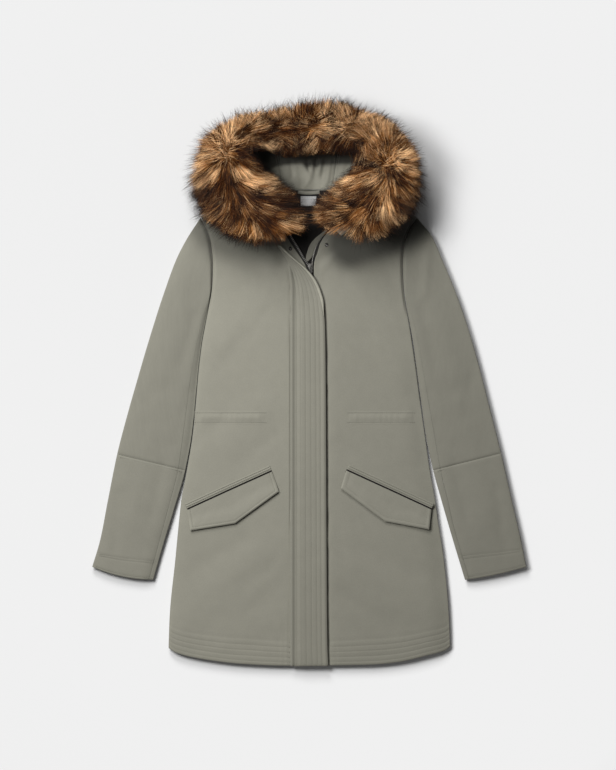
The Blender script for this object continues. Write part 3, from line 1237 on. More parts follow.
def bevelled(name, boxes, finish, body, bevel, wire):
    """One piece of rounded boxes and a wire, millimetres."""
    shape = bmesh.new()
    for low, high in boxes:
        block(shape, low, high)
    bmesh.ops.bevel(shape, geom=list(shape.edges), offset=bevel * MM, segments=3, affect="EDGES",
                    profile=0.6)
    points, faces = wire
    verts = [shape.verts.new(Vector(point) * MM) for point in points]
    for face in faces:
        shape.faces.new([verts[k] for k in face])
    bmesh.ops.recalc_face_normals(shape, faces=shape.faces)
    mesh = bpy.data.meshes.new(name)
    shape.to_mesh(mesh)
    shape.free()
    mesh.shade_smooth()
    mesh.set_sharp_from_angle(angle=math.radians(40.0))
    return put_on(name, mesh, finish, body)


def make_slider():
    """Slider body: a plate over the teeth, a sole under them, and an arched bail."""
    x, half, post = ZIP_X, SLIDER["half_width"], SLIDER["post"]
    low, high, plate, sole = (SLIDER[key] for key in ("bottom", "top", "plate", "sole"))
    arch_y = np.linspace(BAIL["front"] + 0.5, BAIL["rear"] - 0.5, 15)
    share = (arch_y - arch_y[0]) / (arch_y[-1] - arch_y[0])
    arch_z = BAIL["foot"] + (BAIL["outside"] - 0.5 - BAIL["foot"]) * np.sin(np.pi * share) ** 0.35
    arch = tube_along(np.column_stack([np.full_like(arch_y, x), arch_y, arch_z]), 0.5)
    wings = [((x - half, low, plate[0]), (x + half, high, plate[1])),
             ((x - half, low, sole[0]), (x + half, high, sole[1])),
             ((x - post, high - 2.4, sole[1] - 0.3), (x + post, high - 0.2, plate[0] + 0.3)),
             ((x - half, low + 0.4, plate[0] - 0.9), (x - half + 0.8, high - 2.6, plate[0] + 0.3)),
             ((x + half - 0.8, low + 0.4, plate[0] - 0.9), (x + half, high - 2.6, plate[0] + 0.3))]
    made = bevelled("slider_body", wings, slider_metal, "parka", 0.35, arch)
    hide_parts("zip_slider")


def make_pull():
    """The zip's pull: a round bar under the bail, two arms and a tab with a slot."""
    x, y, z = PULL_AXIS
    neck, end, arm, wide, slit = PULL["neck"], PULL["end"], PULL["outer"], PULL["half_width"], 1.0
    bar = tube_along([(x + arm * share, y, z) for share in (-1.0, -0.5, 0.0, 0.5, 1.0)], PULL["bar"])
    arm_z, tab_z = 0.8 * PULL["thick"], 0.75 * PULL["thick"]
    tab = [((x - arm, neck - 0.6, z - arm_z), (x - PULL["inner"], y + 0.3, z + arm_z)),
           ((x + PULL["inner"], neck - 0.6, z - arm_z), (x + arm, y + 0.3, z + arm_z)),
           ((x - wide, end, z - tab_z), (x + wide, end + 1.5, z + tab_z)),
           ((x - wide, neck - 1.5, z - tab_z), (x + wide, neck, z + tab_z)),
           ((x - wide, end + 0.8, z - tab_z), (x - slit, neck - 0.8, z + tab_z)),
           ((x + slit, end + 0.8, z - tab_z), (x + wide, neck - 0.8, z + tab_z))]
    made = bevelled("pull_tab_body", tab, slider_metal, "pull_tab", 0.22, bar)
    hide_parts("zip_pull")


def make_teeth():
    """Metal teeth clamped to both tapes: meshed below the slider, apart above it."""
    pitch = 2.6
    middle = 0.5 * (TAPE[0] + TAPE[1])
    sections = ((-2.2, 0.55, 0.95), (-0.4, 0.60, 1.05), (0.7, 0.85, 0.9), (1.35, 0.6, 0.55))
    for which, tape, toward, offset, metal in (("left", TAPE_LEFT, 1.0, 0.0, bright_metal),
                                               ("right", TAPE_RIGHT, -1.0, 0.5 * pitch, dark_metal)):
        points, faces = [], []
        ys = np.arange(-494.0 + offset, 266.0, pitch)
        slope = (x_at(tape, "x", ys + 1.0) - x_at(tape, "x", ys - 1.0)) / 2.0
        for x, y, lean in zip(x_at(tape, "x", ys), ys, slope):
            forward = np.array([lean, 1.0, 0.0]) / math.hypot(lean, 1.0)
            across = toward * np.array([forward[1], -forward[0], 0.0])
            base = len(points)
            for reach, half_long, half_high in sections:
                for a, b in ((-1, -1), (1, -1), (1, 1), (-1, 1)):
                    spot = np.array([x, y, middle]) + across * reach + forward * a * half_long
                    points.append(spot + np.array([0.0, 0.0, b * half_high]))
            for one in range(base, base + 12, 4):
                faces += [(one + j, one + (j + 1) % 4, one + 4 + (j + 1) % 4, one + 4 + j)
                          for j in range(4)]
            faces.append((base, base + 1, base + 2, base + 3))
            faces.append((base + 15, base + 14, base + 13, base + 12))
        add_piece(f"zip_teeth_{which}", points, faces, metal, sharp=30.0)


# -------- neck and hood
NECK_FLOOR = WALL + SEAM_GAP                                # on the back
ON_LINING = NECK_FLOOR + (LINING_WALL + SEAM_GAP)


def between_lines(left, right, ys, shares):
    """Plan of a strip between two lines, from one x to the other at each height."""
    x = left[:, None] + (right - left)[:, None] * shares
    return np.dstack([x, np.broadcast_to(ys[:, None], x.shape)])


def make_neck_lining():
    """The dark lining of the back, as far as it shows inside the neck."""
    ys = np.linspace(NECK_LINING["y"][0], NECK_LINING["y"][-1], 50)
    half = x_at(NECK_LINING, "half", ys)
    plan = between_lines(-half, half, ys, np.linspace(0.0, 1.0, 44))
    uneven = 0.12 * ripple(plan[:, :, 0], plan[:, :, 1], 26.0, 8.0)
    made = slab("neck_lining_cloth", plan, NECK_FLOOR, NECK_FLOOR + LINING_WALL + uneven, lining_cloth,
                "lining")
    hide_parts("neck_lining")


def make_hanger_loop():
    """A folded strip across the neck, sagging a little between its ends."""
    share = np.linspace(0.0, 1.0, 9)[:, None]
    x, y = np.meshgrid(np.linspace(LOOP["left"], LOOP["right"], 60),
                       np.linspace(LOOP["low"], LOOP["high"], 9))
    plan = np.dstack([x, y + LOOP["bow"] * (x / LOOP["left"]) ** 2])
    dome = 0.5 * np.sin(np.pi * share)
    made = slab("hanger_loop_cloth", plan, ON_LINING, ON_LINING + LOOP["thick"] - 0.5 + dome,
                shell_cloth)
    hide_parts("hanger_loop")


def make_label():
    """A bare woven label, sewn down along its upper and its lower edge."""
    x, y = np.meshgrid(np.linspace(LABEL["left"], LABEL["right"], 40),
                       np.linspace(LABEL["low"], LABEL["high"], 26))
    away = np.minimum(np.minimum(x - LABEL["left"], LABEL["right"] - x),
                      np.minimum(y - LABEL["low"], LABEL["high"] - y))
    top = ON_LINING + LABEL["thick"]
    made = slab("neck_label_cloth", np.dstack([x, y]), ON_LINING,
                top + 0.10 * np.sin(x * 0.5) - 0.25 * fading(away, 0.7), label_cloth, "label")
    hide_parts("neck_label")
    xs = np.linspace(LABEL["left"] + 1.5, LABEL["right"] - 1.5, 12)
    for place in (LABEL["low"] + 1.4, LABEL["high"] - 1.4):
        stitch_row("label", xs, np.full_like(xs, place), np.full_like(xs, top))


def make_zip_tapes():
    """A tape sewn under each front's edge, its teeth along the free side."""
    ys = np.concatenate([np.linspace(-500.0, 180.0, 90), np.linspace(184.0, 266.0, 60)])
    for which, edge, teeth, gap in (("left", EDGE_LEFT, TAPE_LEFT, SEAM_GAP),
                                    ("right", EDGE_RIGHT, TAPE_RIGHT, -SEAM_GAP)):
        sewn = x_at(edge, "x", ys) + 3.0 * gap
        plan = between_lines(sewn, x_at(teeth, "x", ys), ys, np.linspace(0.0, 1.0, 7))
        made = slab(f"zip_tape_{which}_cloth", plan, TAPE[0], TAPE[1], tape_cloth, "zip_tape")
        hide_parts(f"zip_tape_{which}")


def make_zip_guard():
    """The padded strip behind the zip, where it shows in the open neck."""
    ys = np.linspace(GUARD["y"][0], GUARD["y"][-1], 60)
    share = np.linspace(0.0, 1.0, 14)
    plan = between_lines(x_at(GUARD, "left", ys), x_at(GUARD, "right", ys), ys, share)
    dome = 0.9 * np.sin(np.pi * share)[None, :] ** 0.7
    made = slab("zip_guard_cloth", plan, GUARD_Z[0], GUARD_Z[1] + dome, guard_cloth, worn=0.4)
    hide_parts("zip_guard")


def past_shoulders(x, y):
    """0 over the coat, 1 well past its shoulder line, where things drop to the surface."""
    reach = np.abs(x)
    edge = np.interp(reach, SHOULDER_LINE["x"], SHOULDER_LINE["y"])
    slant = np.interp(reach, (84.0, 100.0), (1.0, 0.88))
    return smooth(*DROP, (y - edge) * slant)


def hood_floor(x, y):
    """What the hood lies on: the back between the shoulders, the fronts, or the surface beyond."""
    fronts = np.maximum(smooth(60.0, 80.0, np.abs(x)), 1.0 - smooth(328.0, 344.0, y))
    on_coat = HOOD_REST + (HOOD_ON_COAT - HOOD_REST) * fronts
    return on_coat + (HOOD_REST - on_coat) * past_shoulders(x, y)


def hood_points(at, share):
    """Plan points of the hood: table rows, and shares of the way from neck seam to opening edge."""
    neck, rim = line_points(HOOD, "neck", at), line_points(HOOD, "rim", at)
    return neck[:, None] + (rim - neck)[:, None] * share[None, :, None]


def hood_top(x, y, share):
    """Upper side of the hood: it rises to the opening edge, and creases where it isn't held there."""
    floor = hood_floor(x, y)
    rise = smooth(0.35, 1.0, share)
    loose = 1.0 - smooth(0.55, 0.95, share)
    creases = folds(HOOD_FOLDS, x, y) + 0.35 * ripple(x, y, 24.0, 9.0)
    return floor + HOOD_WALL + (HOOD_RIM_TOP - floor - HOOD_WALL) * rise + creases * loose


def make_hood():
    """Three panels that rise from the neck seam to the opening edge, creased where they turn up."""
    last = len(HOOD["neck_x"]) - 1.0
    gap = 0.5 * SEAM_GAP / HOOD_SEAM_STEP
    first_seam, second_seam = HOOD_SEAMS
    spans = {"hood_left": (0.0, first_seam - gap, 100),
             "hood_centre": (first_seam + gap, second_seam - gap, 60),
             "hood_right": (second_seam + gap, last, 100)}
    across = np.unique(np.concatenate([np.linspace(0.0, 1.0, 34), [0.01, 0.02]]))
    for name, (start, end, count) in spans.items():
        at = np.linspace(start, end, count)
        plan = hood_points(at, across)
        x, y = plan[:, :, 0], plan[:, :, 1]
        floor = hood_floor(x, y)
        seam = sum(groove((at[:, None] - place) * HOOD_STEP, 3.0) for place in HOOD_SEAMS)
        upper = hood_top(x, y, across[None, :]) - 0.8 * seam
        depth = y - through(HOOD_DARK["x"], HOOD_DARK["y"], np.clip(x, -80.0, 60.0))
        made = slab(f"{name}_cloth", plan, floor, np.maximum(upper, floor + 0.8), hood_cloth,
                    shade=0.85 * smooth(-3.5, 4.5, depth))
        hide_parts(name)
    share = np.linspace(0.03, 0.75, 40)
    for place in HOOD_SEAMS:
        for shift in (-0.075, 0.075):
            line = hood_points(np.array([place + shift]), share)[0]
            z = hood_top(*line.T, share) - 0.15
            stitch_row("hood", line, z)


# -------- fur
HAIR = {"count": 112000, "width": 0.72, "segments": 3, "seed": 11, "length": 56.0, "core_reach": 0.54,
        "core_height": 0.82}
HAIR_BEND_START = 80.0       # above this height the tips of the hair bend over, the more the higher
HAIR_FLOOR = (15.2, 0.5)     # under the hair: over the coat, and past its shoulders
SWIRLS = {"left": (-142.0, 418.0), "right": (136.0, 392.0)}


def fur_floor(plan):
    """Under side of the trim."""
    return FUR_ON_COAT + (FUR_REST - FUR_ON_COAT) * past_shoulders(plan[:, 0], plan[:, 1])


def fur_rows(fraction):
    """Inner edge, outer edge and crest height of the trim, a fraction of the way along it."""
    at = np.clip(fraction, 0.0, 1.0) * (len(FUR["crest"]) - 1.0)
    return line_points(FUR, "inner", at), line_points(FUR, "outer", at), row(FUR, "crest", at)


def fur_surface(fraction, turn, reach_share, height_share):
    """Points and outward directions round the fur: turn 0 at its outer edge, pi at its inner edge."""
    inner, outer, crest = fur_rows(fraction)
    middle, reach = 0.5 * (inner + outer), 0.5 * (outer - inner)
    half = np.linalg.norm(reach, axis=1)
    plan = middle + reach * (np.cos(turn) * reach_share)[:, None]
    floor = np.where(turn > 1.9, 15.5, fur_floor(middle + reach * np.cos(turn)[:, None]))
    height = (crest - floor - 3.0) * height_share
    z = floor + 3.0 + height * np.abs(np.sin(turn)) ** 0.8
    away = reach / half[:, None]
    lie = np.column_stack([away * (np.cos(turn) * height)[:, None], np.sin(turn) * half])
    return np.column_stack([plan, z]), unit(lie)


def to_swirl(places):
    """The way out from the nearer of the two swirls, not yet at length 1."""
    return places[:, :2] - np.where(places[:, :1] < 0.0, SWIRLS["left"], SWIRLS["right"])


def turned_by(lean, angle):
    """Directions in plan turned by an angle each."""
    return np.column_stack([lean[:, 0] * np.cos(angle) - lean[:, 1] * np.sin(angle),
                            lean[:, 0] * np.sin(angle) + lean[:, 1] * np.cos(angle)])


def over_crown(x, y):
    """1 over the crown of the trim, between its two upper corners, 0 elsewhere."""
    return (1.0 - smooth(58.0, 112.0, np.abs(x))) * smooth(340.0, 380.0, y)


def hair_lie(fraction, turn, places):
    """Which way the hair lies in plan: out from two swirls, then parted along the trim to its ends."""
    x, y = places[:, 0], places[:, 1]
    out = to_swirl(places)
    distance = np.linalg.norm(out, axis=1)[:, None]
    radial = out / np.maximum(distance, 1.0) * smooth(0.0, 45.0, distance)
    inner, outer, _ = fur_rows(fraction)
    away = unit(outer - inner)
    to_edge = np.cos(turn)[:, None]
    parting = away * (np.sign(to_edge) * smooth(0.0, 0.35, np.abs(to_edge)))
    before, after = (sum(fur_rows(fraction + step)[:2]) for step in (-0.012, 0.012))
    downward = unit(after - before) * np.sign(fraction - 0.5)[:, None]
    crown = over_crown(x, y)[:, None]
    sides = 0.80 * parting + 0.62 * downward
    near = 1.0 - smooth(22.0, 78.0, distance)
    sides = radial * near + sides * (1.0 - near)
    over = parting.copy()
    over[:, 0] += 0.30 + 0.80 * ripple(x, y, 66.0, 6.0)
    edges = 0.40 * away * to_edge * (1.0 - crown)
    lean = sides * (1.0 - crown) + over * crown + edges
    swing = 0.50 * ripple(x, y, 48.0, 2.0) + 0.30 * ripple(x, y, 22.0, 7.0)
    return turned_by(lean, swing), distance[:, 0]


def edge_trim(fraction, turn):
    """Hair is longest on the crest and trimmed towards both edges, most on the crown's outer edge."""
    inner, outer, _ = fur_rows(fraction)
    middle = 0.5 * (inner + outer)
    crown = over_crown(middle[:, 0], middle[:, 1])
    corner = smooth(380.0, 425.0, middle[:, 1]) * (1.0 - crown)
    to_edge = np.cos(turn)
    return (1.0 - 0.36 * to_edge ** 2 - 0.42 * crown * np.maximum(to_edge, 0.0)
            - 0.28 * corner * np.maximum(to_edge, 0.0))


# how far the hair may reach past the trim's outer edge, or stops short of it where below 0, at each
# row of the fur's table
FUR_MARGIN = (3.0, -4.0, 1.0, -2.0, -7.0, -14.0, -11.0, -5.0, -15.0, -17.0, -18.0, -19.0, -1.0, 8.0)


def inside_loop(points, loop):
    """Which plan points lie inside a closed loop."""
    x, y = points[:, :1], points[:, 1:2]
    x0, y0 = loop[:, 0][None, :], loop[:, 1][None, :]
    x1, y1 = np.roll(loop[:, 0], -1)[None, :], np.roll(loop[:, 1], -1)[None, :]
    span = np.where(y1 == y0, 1.0, y1 - y0)
    crosses = ((y0 > y) != (y1 > y)) & (x < x0 + (x1 - x0) * (y - y0) / span)
    return crosses.sum(1) % 2 == 1


def fur_outline():
    """Closed outline of the trim, where its points lie along it, their margins and most slack."""
    side_count, cap_count = 112, 8
    fine = np.linspace(0.0, 1.0, side_count)
    inner, outer, _ = fur_rows(fine)
    caps = np.linspace(0.1, 0.9, cap_count)[:, None]
    loop = np.concatenate([outer, outer[-1] + (inner[-1] - outer[-1]) * caps, inner[::-1],
                           inner[0] + (outer[0] - inner[0]) * caps])
    at_ends = 1.0 - smooth(0.10, 0.22, np.minimum(fine, 1.0 - fine))
    last = len(FUR_MARGIN) - 1.0
    outer_margin = np.interp(fine * last, np.arange(last + 1.0), FUR_MARGIN)

    def around(outer_side, end_cap, inner_side, start_cap):
        return np.concatenate([np.broadcast_to(outer_side, side_count), np.full(cap_count, end_cap),
                               inner_side[::-1], np.full(cap_count, start_cap)])

    place = around(fine, 1.0, fine, 0.0)
    margin = around(outer_margin, 7.0, -4.0 + 8.0 * at_ends, 6.0)
    most = around(30.0, 6.0, 4.5 + 2.5 * at_ends, 5.0)
    return loop, place, margin, most


def past_outline(point, slack, fraction):
    """How far points lie past the outline of the trim beyond their slack, and the way out of it."""
    own_part, far_away = 0.06, 4e5
    loop, place, margin, most = fur_outline()
    gap = ((point[:, None, :2] - loop[None]) ** 2).sum(2)
    gap = gap + far_away * np.maximum(np.abs(fraction[:, None] - place[None]) - own_part, 0.0)
    near = gap.argmin(1)
    distance = np.linalg.norm(point[:, :2] - loop[near], axis=1)
    beyond = np.where(inside_loop(point[:, :2], loop), -distance, distance)
    outward = (point[:, :2] - loop[near]) / np.where(np.abs(beyond) < 0.5, 0.5, beyond)[:, None]
    return np.maximum(beyond - (np.minimum(slack, most[near]) + margin[near]), 0.0), outward


def trimmed(root, bend, tip, slack, fraction):
    """Hair shortened where it would pass the outline of the trim by more than its slack."""
    for share in (0.4, 0.6, 0.8):
        point = (1.0 - share) ** 2 * root + 2.0 * share * (1.0 - share) * bend + share ** 2 * tip
        crosses = past_outline(point, slack, fraction)[0] > 0.0
        bend[crosses] = (root + share * (bend - root))[crosses]
        tip[crosses] = point[crosses]
    over, outward = past_outline(tip, slack, fraction)
    advance = ((tip[:, :2] - root[:, :2]) * outward).sum(1)
    kept = np.clip(1.0 - over / np.maximum(advance, 1.0), 0.28, 1.0)[:, None]
    left = np.maximum(over - (1.0 - kept[:, 0]) * np.maximum(advance, 0.0), 0.0)
    tip[:] = root + kept * (tip - root)
    bend[:] = root + kept * (bend - root)
    tip[:, :2] -= left[:, None] * outward
    bend[:, :2] -= 0.6 * left[:, None] * outward
    tip[:, 2] -= 0.25 * over * kept[:, 0]


def dither(key, salt):
    """The same fraction for the same lock, spread evenly from 0 to 1."""
    return np.modf(np.abs(np.sin(key * 12.9898 + salt * 78.233) * 43758.5453))[0]


def make_locks(count, start, end, rng):
    """Roots of hairs spread evenly over part of the trim, and the lock that each belongs to."""
    fine = np.linspace(0.055, 0.945, 400)
    inner, outer, crest = fur_rows(fine)
    middle = 0.5 * (inner + outer)
    step = np.linalg.norm(np.gradient(middle, axis=0), axis=1)
    weight = np.cumsum(step * (np.linalg.norm(outer - inner, axis=1) + crest))
    low, high = np.interp((start, end), fine, weight / weight[-1])
    fraction = np.interp(rng.uniform(low, high, int(count * (high - low))), weight / weight[-1], fine)
    turn = rng.uniform(0.06, math.pi - 0.06, len(fraction))
    turn = turn + 0.14 * np.sin(2.0 * turn)
    across, around = 215.0, 21.0
    key_f = np.floor(fraction * across + 0.5 * rng.random(len(fraction)))
    key_t = np.floor(turn * around / math.pi + 0.45 * rng.random(len(turn)) + 0.5 * (key_f % 2))
    key = key_f * 131.0 + key_t * 17.0
    centre_f = (key_f + 0.25 + 0.6 * dither(key, 1)) / across
    centre_t = (key_t - 0.5 * (key_f % 2) + 0.25 + 0.6 * dither(key, 2)) * math.pi / around
    return fraction, turn, key, centre_f, np.clip(centre_t, 0.05, math.pi - 0.05)


def hair_curve(fraction, turn, key, rng, length, spread):
    """Root, bend and tip of each hair, and the outward direction at its root."""
    root, lie = fur_surface(fraction, turn, np.full(len(turn), HAIR["core_reach"]),
                            np.full(len(turn), HAIR["core_height"]))
    lean, distance = hair_lie(fraction, turn, root)
    whorl = 1.0 - smooth(0.15, 0.60, np.linalg.norm(lean, axis=1))
    lean = lean * (1.0 + 0.8 * whorl[:, None])
    swing = (dither(key, 3) - 0.5) * (0.7 + 5.0 * whorl) + spread * rng.normal(0.0, 0.16 + 0.8 * whorl)
    stray = whorl * (0.35 + 0.55 * dither(key, 14))
    aside = 9.0 * dither(key, 15)
    lean = lean + stray[:, None] * np.column_stack([np.cos(aside), np.sin(aside)])
    turned = np.column_stack([turned_by(lean, swing), np.zeros_like(swing)])
    outward = (turned * lie).sum(1)[:, None]
    skim = turned - np.minimum(outward, 0.0) * lie
    lift = (0.62 + 0.35 * (dither(key, 4) - 0.5))[:, None]
    first = lift * lie + 0.75 * skim
    first[:, 2] += 0.10
    flat = np.minimum(np.linalg.norm(skim, axis=1), 1.0)[:, None]
    last = (1.0 - 0.76 * flat) * lie + 1.15 * skim
    last[:, 2] -= 0.24 * flat[:, 0]
    bend = root + unit(first) * (0.42 * length)[:, None]
    tip = bend + unit(last) * (0.66 * length)[:, None]
    return root, bend, tip, lie, distance, whorl


def hair_tones(tip, turn, key, distance, rng):
    """Lightness of each hair and how black its tip is: bands over the trim, patches and mixed locks."""
    x, y = tip[:, 0], tip[:, 1]
    to_edge = np.cos(turn)
    patches = 0.5 + 0.5 * ripple(x, y, 62.0, 3.0) + 0.25 * ripple(x, y, 26.0, 5.0)
    crown = (1.0 - smooth(70.0, 120.0, np.abs(x))) * smooth(360.0, 400.0, y)
    pale_ring = bell(distance - 52.0, 30.0) * smooth(318.0, 352.0, y) * (1.0 - crown)
    dusk = bell(y - 318.0 - 8.0 * ripple(x, y, 70.0, 8.0), 24.0) * (1.0 - crown)
    low = 1.0 - smooth(285.0, 305.0, y)
    inside = smooth(0.4, 0.95, -to_edge) * crown
    left = 1.0 - smooth(-20.0, 20.0, x)
    dusk = dusk * (0.75 + 0.55 * left)
    lower_edge = crown * (1.0 - smooth(408.0, 434.0, y))
    streaks = ripple(x, y, 17.0, 9.0) + 0.8 * ripple(x, y, 11.0, 4.0)
    corners = sum(bell(np.hypot(x - at, y - 402.0), 24.0) for at in (-72.0, 78.0))
    tone = (0.45 + (0.32 + 0.10 * left) * pale_ring - 0.32 * dusk * (0.2 + 1.0 * patches)
            - 0.22 * low * left - 0.04 * low
            - 0.26 * crown - 0.30 * inside - 0.16 * lower_edge - 0.24 * corners
            - 0.14 * bell(distance, 24.0) * (1.0 - crown)
            + (0.52 + 0.60 * crown) * (patches - 0.5)
            + (1.10 + 0.45 * crown) * (1.0 - 0.45 * inside) * (dither(key, 6) - 0.5)
            + 0.15 * streaks + rng.normal(0.0, 0.15, len(x)))
    beneath = smooth(0.50, 0.90, to_edge) * smooth(262.0, 282.0, y) * (1.0 - smooth(318.0, 342.0, y))
    fringe = smooth(0.74, 0.96, to_edge) * (1.0 - 0.4 * low)
    share = 0.18 + 0.38 * dusk + 0.45 * fringe + 0.25 * inside + 0.20 * lower_edge + 0.50 * beneath
    black = (0.80 * (dither(key, 7) < share) + 0.25 * dusk * patches + 0.30 * inside
             + 0.35 * beneath + 0.45 * corners + rng.normal(0.0, 0.10, len(x)))
    return np.clip(tone, 0.0, 1.0), np.clip(black, 0.0, 1.0)


def add_hair_values(mesh, values, core):
    """Store what the hair's finish reads. The core is brown under the swirls, near black elsewhere."""
    near = bell(np.linalg.norm(to_swirl(core), axis=1), 34.0)
    under = {"hair_height": 0.75 * near, "hair_tone": 0.46 * near, "hair_black": 0.0 * near}
    for name, numbers in values.items():
        layer = mesh.attributes.new(name, "FLOAT", "POINT")
        layer.data.foreach_set("value", np.concatenate([numbers, under[name]]).astype(np.float32))


def fur_core(start, end):
    """Dark closed body under the hair: points of its upper and under side, and its faces."""
    turns, steps = 14, 24
    turn = np.linspace(0.0, math.pi, turns)
    reach, height = np.full(turns, HAIR["core_reach"] * 1.04), np.full(turns, HAIR["core_height"])
    upper = np.array([fur_surface(np.full(turns, at), turn, reach, height)[0]
                      for at in np.clip(np.linspace(start, end, steps), 0.05, 0.95)])
    under = upper.copy()
    under[:, :, 2] = np.clip(upper[:, :, 2] - 6.0, 1.2, 17.0)
    return np.concatenate([upper.reshape(-1, 3), under.reshape(-1, 3)]), closed_faces(steps, turns)


def comb(fraction, turn, key, centre_f, centre_t, guard, rng):
    """Curves of the hairs of one pelt, drawn into locks and cut along the outline of the trim."""
    count = len(fraction)
    length = HAIR["length"] * (0.80 + 0.40 * dither(key, 5)) * rng.uniform(0.82, 1.10, count)
    length = np.where(guard, length * rng.uniform(1.25, 1.85, count), length)
    length = length * edge_trim(fraction, turn)
    root, bend, tip, lie, distance, whorl = hair_curve(fraction, turn, key, rng, length, 1.0)
    lock_length = HAIR["length"] * (0.82 + 0.40 * dither(key, 5)) * edge_trim(centre_f, centre_t)
    _, lock_bend, lock_tip, _, _, _ = hair_curve(centre_f, centre_t, key, rng, lock_length, 0.0)
    gather = np.where(guard, 0.10, 0.40 + 0.30 * dither(key, 8)) * rng.uniform(0.5, 1.1, count)
    tip = tip + (lock_tip - tip) * gather[:, None] + rng.normal(0.0, 0.9, (count, 3))
    bend = bend + (lock_bend - bend) * (0.45 * gather)[:, None] + rng.normal(0.0, 0.8, (count, 3))
    slack = -7.0 + 13.0 * dither(key, 13) + rng.normal(0.0, 2.6, count)
    slack = slack + np.where(guard, 5.0 + 15.0 * rng.random(count), 0.0)
    trimmed(root, bend, tip, slack, fraction)
    head = 24.0 + 12.0 * dither(key, 14)
    above = tip[:, 2] - HAIR_BEND_START
    tip[:, 2] = np.where(above > 0.0, HAIR_BEND_START + head * np.tanh(above / head), tip[:, 2])
    return root, bend, tip, lie, distance, whorl


def ribbons(root, bend, tip, across, key, share, rng):
    """Tapering ribbons along the hairs: their points, row by row and the tip last, and their faces."""
    count, segments = len(root), HAIR["segments"]
    s = share[None, :, None]
    curve = (1 - s) ** 2 * root[:, None] + 2 * s * (1 - s) * bend[:, None] + s ** 2 * tip[:, None]
    wave = np.sin(share[None, :] * 6.0 + 6.0 * dither(key, 9)[:, None]) * share[None, :] * 1.1
    curve = curve + across[:, None] * wave[:, :, None]
    over_coat, past_coat = HAIR_FLOOR
    flat = curve.reshape(-1, 3)
    floor = over_coat + (past_coat - over_coat) * past_shoulders(flat[:, 0], flat[:, 1])
    floor = floor.reshape(count, -1) + 1.2 * rng.random((count, 1))
    curve[:, :, 2] = np.maximum(curve[:, :, 2], floor)
    half = 0.5 * HAIR["width"] * rng.uniform(0.55, 1.3, count)
    taper = np.interp(share, (0.0, 0.4, 1.0), (0.9, 1.0, 0.0))
    offset = across[:, None] * (half[:, None] * taper[None, :])[:, :, None]
    points = np.concatenate([curve[:, :-1] - offset[:, :-1], curve[:, :-1] + offset[:, :-1],
                             curve[:, -1:]], axis=1)
    base = (np.arange(count) * points.shape[1])[:, None]
    quads = np.concatenate([base + np.array([[k, segments + k, segments + k + 1, k + 1]])
                            for k in range(segments - 1)])
    tips = base + np.array([[segments - 1, 2 * segments - 1, 2 * segments]])
    return points, quads, tips


def light_hair(mesh, normal):
    """Give the hair its own normals, and leave those of the core under it."""
    kept = np.empty(len(mesh.vertices) * 3, dtype=np.float32)
    mesh.vertices.foreach_get("normal", kept)
    kept = kept.reshape(-1, 3)
    kept[:len(normal)] = normal
    mesh.normals_split_custom_set_from_vertices(kept)


def make_pelt(name, start, end, rng):
    """One pelt of the trim: its hair and the dark core that the hair stands on."""
    fraction, turn, key, centre_f, centre_t = make_locks(HAIR["count"], start, end, rng)
    count = len(fraction)
    share = np.linspace(0.0, 1.0, HAIR["segments"] + 1)
    guard = rng.random(count) < 0.11 + 0.07 * smooth(0.4, 0.9, np.cos(turn))
    root, bend, tip, lie, distance, whorl = comb(fraction, turn, key, centre_f, centre_t, guard, rng)
    forward = unit(tip - root)
    across = unit(np.cross(forward, lie + 0.45 * rng.normal(0.0, 1.0, (count, 3))))
    points, quads, tips = ribbons(root, bend, tip, across, key, share, rng)
    size = points.shape[1]
    core, core_faces = fur_core(start, end)
    made = add_piece(f"{name}_hair", np.concatenate([points.reshape(-1, 3), core]),
                     quads.tolist() + (core_faces + count * size).tolist() + tips.tolist(), fur_hair,
                     sharp=180.0, tidy_normals=False)
    tone, black = hair_tones(tip, turn, key, distance, rng)
    tone = np.where(guard, tone * 0.8, tone)
    black = np.where(guard, 1.0, black)
    heights = np.concatenate([share[:-1], share[:-1], share[-1:]])
    heights = heights[None, :] + 0.55 * whorl[:, None] * (1.0 - heights[None, :])
    add_hair_values(made.data, {"hair_height": heights.ravel(), "hair_tone": np.repeat(tone, size),
                                "hair_black": np.repeat(black, size)}, core)
    # hair is lit partly as the outside of the trim is, partly as its own lock
    facing = np.cross(across, forward)
    facing *= np.where((facing * lie).sum(1) < 0.0, -1.0, 1.0)[:, None]
    tilt = np.column_stack([dither(key, 10), dither(key, 11), dither(key, 12)]) - 0.5
    normal = 0.45 * lie + 0.65 * facing + 0.70 * tilt + 0.12 * rng.normal(0.0, 1.0, (count, 3))
    light_hair(made.data, np.repeat(unit(normal), size, axis=0))
    return made


def make_fur():
    """Long hair in tapering locks over a dark core, lying out from two swirls on the upper corners."""
    rng = np.random.default_rng(HAIR["seed"])
    for name, (start, end) in PELTS.items():
        made = make_pelt(name, start, end, rng)
        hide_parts(name)


# -------- camera, floor and light
# brightness of the floor in its middle, then how it changes along x, x * x, x * y, y and y * y
FLOOR_TONE = (0.5715, 0.2207, 0.1277, -0.0266, -0.2448, 0.1176)
FLOOR_LIMITS = (0.28, 0.95)
LIGHTS = (("left_softbox", (-1.25, 0.75, 2.15), 1.0, 75.2),
          ("top_softbox", (-0.65, 2.05, 1.85), 1.1, 63.0))
LIT_SPOT = (0.0, -0.05, 0.0)
EVEN_LIGHT = 0.14


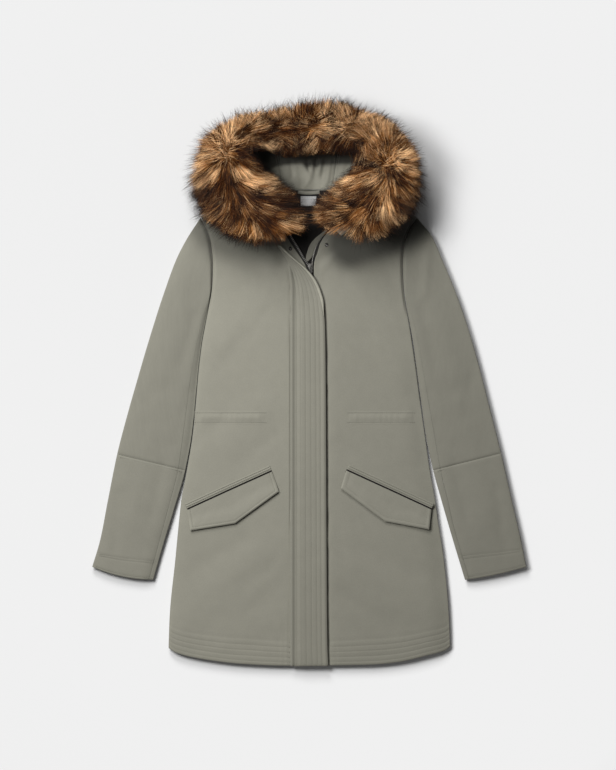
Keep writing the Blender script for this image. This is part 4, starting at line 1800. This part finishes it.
def floor_finish():
    """A matt pale floor, paler away from the lights."""
    floor = Finish("pale_floor", specular_ior_level=0.0, roughness=0.95)
    place = floor.node("ShaderNodeSeparateXYZ", None, {0: floor.place()})
    across, up = (Value(floor, place.outputs[axis]) for axis in (0, 1))
    middle, along_x, x_bend, twist, along_y, y_bend = FLOOR_TONE
    tone = middle + across * (along_x + x_bend * across + twist * up) + up * (along_y + y_bend * up)
    tone = tone.at_least(FLOOR_LIMITS[0]).at_most(FLOOR_LIMITS[1])
    floor.colour(floor.node("ShaderNodeCombineColor", None, {0: tone, 1: tone, 2: tone}).outputs[0])
    return floor.material


def make_floor():
    """A wide floor just under the parka."""
    reach, below = 12.0, 0.0003
    mesh = bpy.data.meshes.new("floor")
    mesh.from_pydata([(-reach, -reach, 0.0), (reach, -reach, 0.0), (reach, reach, 0.0),
                      (-reach, reach, 0.0)], [], [(0, 1, 2, 3)])
    mesh.materials.append(floor_finish())
    made = put_in_scene("floor", mesh)
    made.location.z = -below


def make_lights():
    """Two large soft lights from the upper left and an even fill."""
    for name, place, size, power in LIGHTS:
        light = bpy.data.lights.new(name, "AREA")
        light.shape, light.size, light.size_y, light.energy = "RECTANGLE", size, size, power
        lamp = put_in_scene(name, light)
        lamp.location = place
        lamp.rotation_euler = (Vector(LIT_SPOT) - lamp.location).to_track_quat("-Z", "Y").to_euler()
    world = bpy.data.worlds.new("studio")
    world.use_nodes = True
    background = world.node_tree.nodes["Background"].inputs
    background["Color"].default_value = (1.0, 1.0, 1.0, 1.0)
    background["Strength"].default_value = EVEN_LIGHT
    bpy.context.scene.world = world
    bpy.context.scene.view_settings.view_transform = "Standard"


def make_camera():
    """Straight above and far away, so that the scale is even over the parka."""
    away, sensor, frame_height = 9.0, 36.0, 1.386
    lens = bpy.data.cameras.new("camera")
    lens.sensor_fit = "AUTO"
    lens.sensor_width = sensor
    lens.lens = sensor * away / frame_height
    camera = put_in_scene("camera", lens)
    camera.location = (-0.0018, -0.0045, away + TOP * MM)
    bpy.context.scene.camera = camera


make_camera()
make_floor()
make_lights()
make_body()
make_sleeves()
make_flap()
make_binding()
make_pockets()
make_waist()
make_snaps()
make_slider()
make_pull()
make_teeth()
make_neck_lining()
make_hanger_loop()
make_label()
make_zip_tapes()
make_zip_guard()
make_hood()
make_threads()
make_fur()
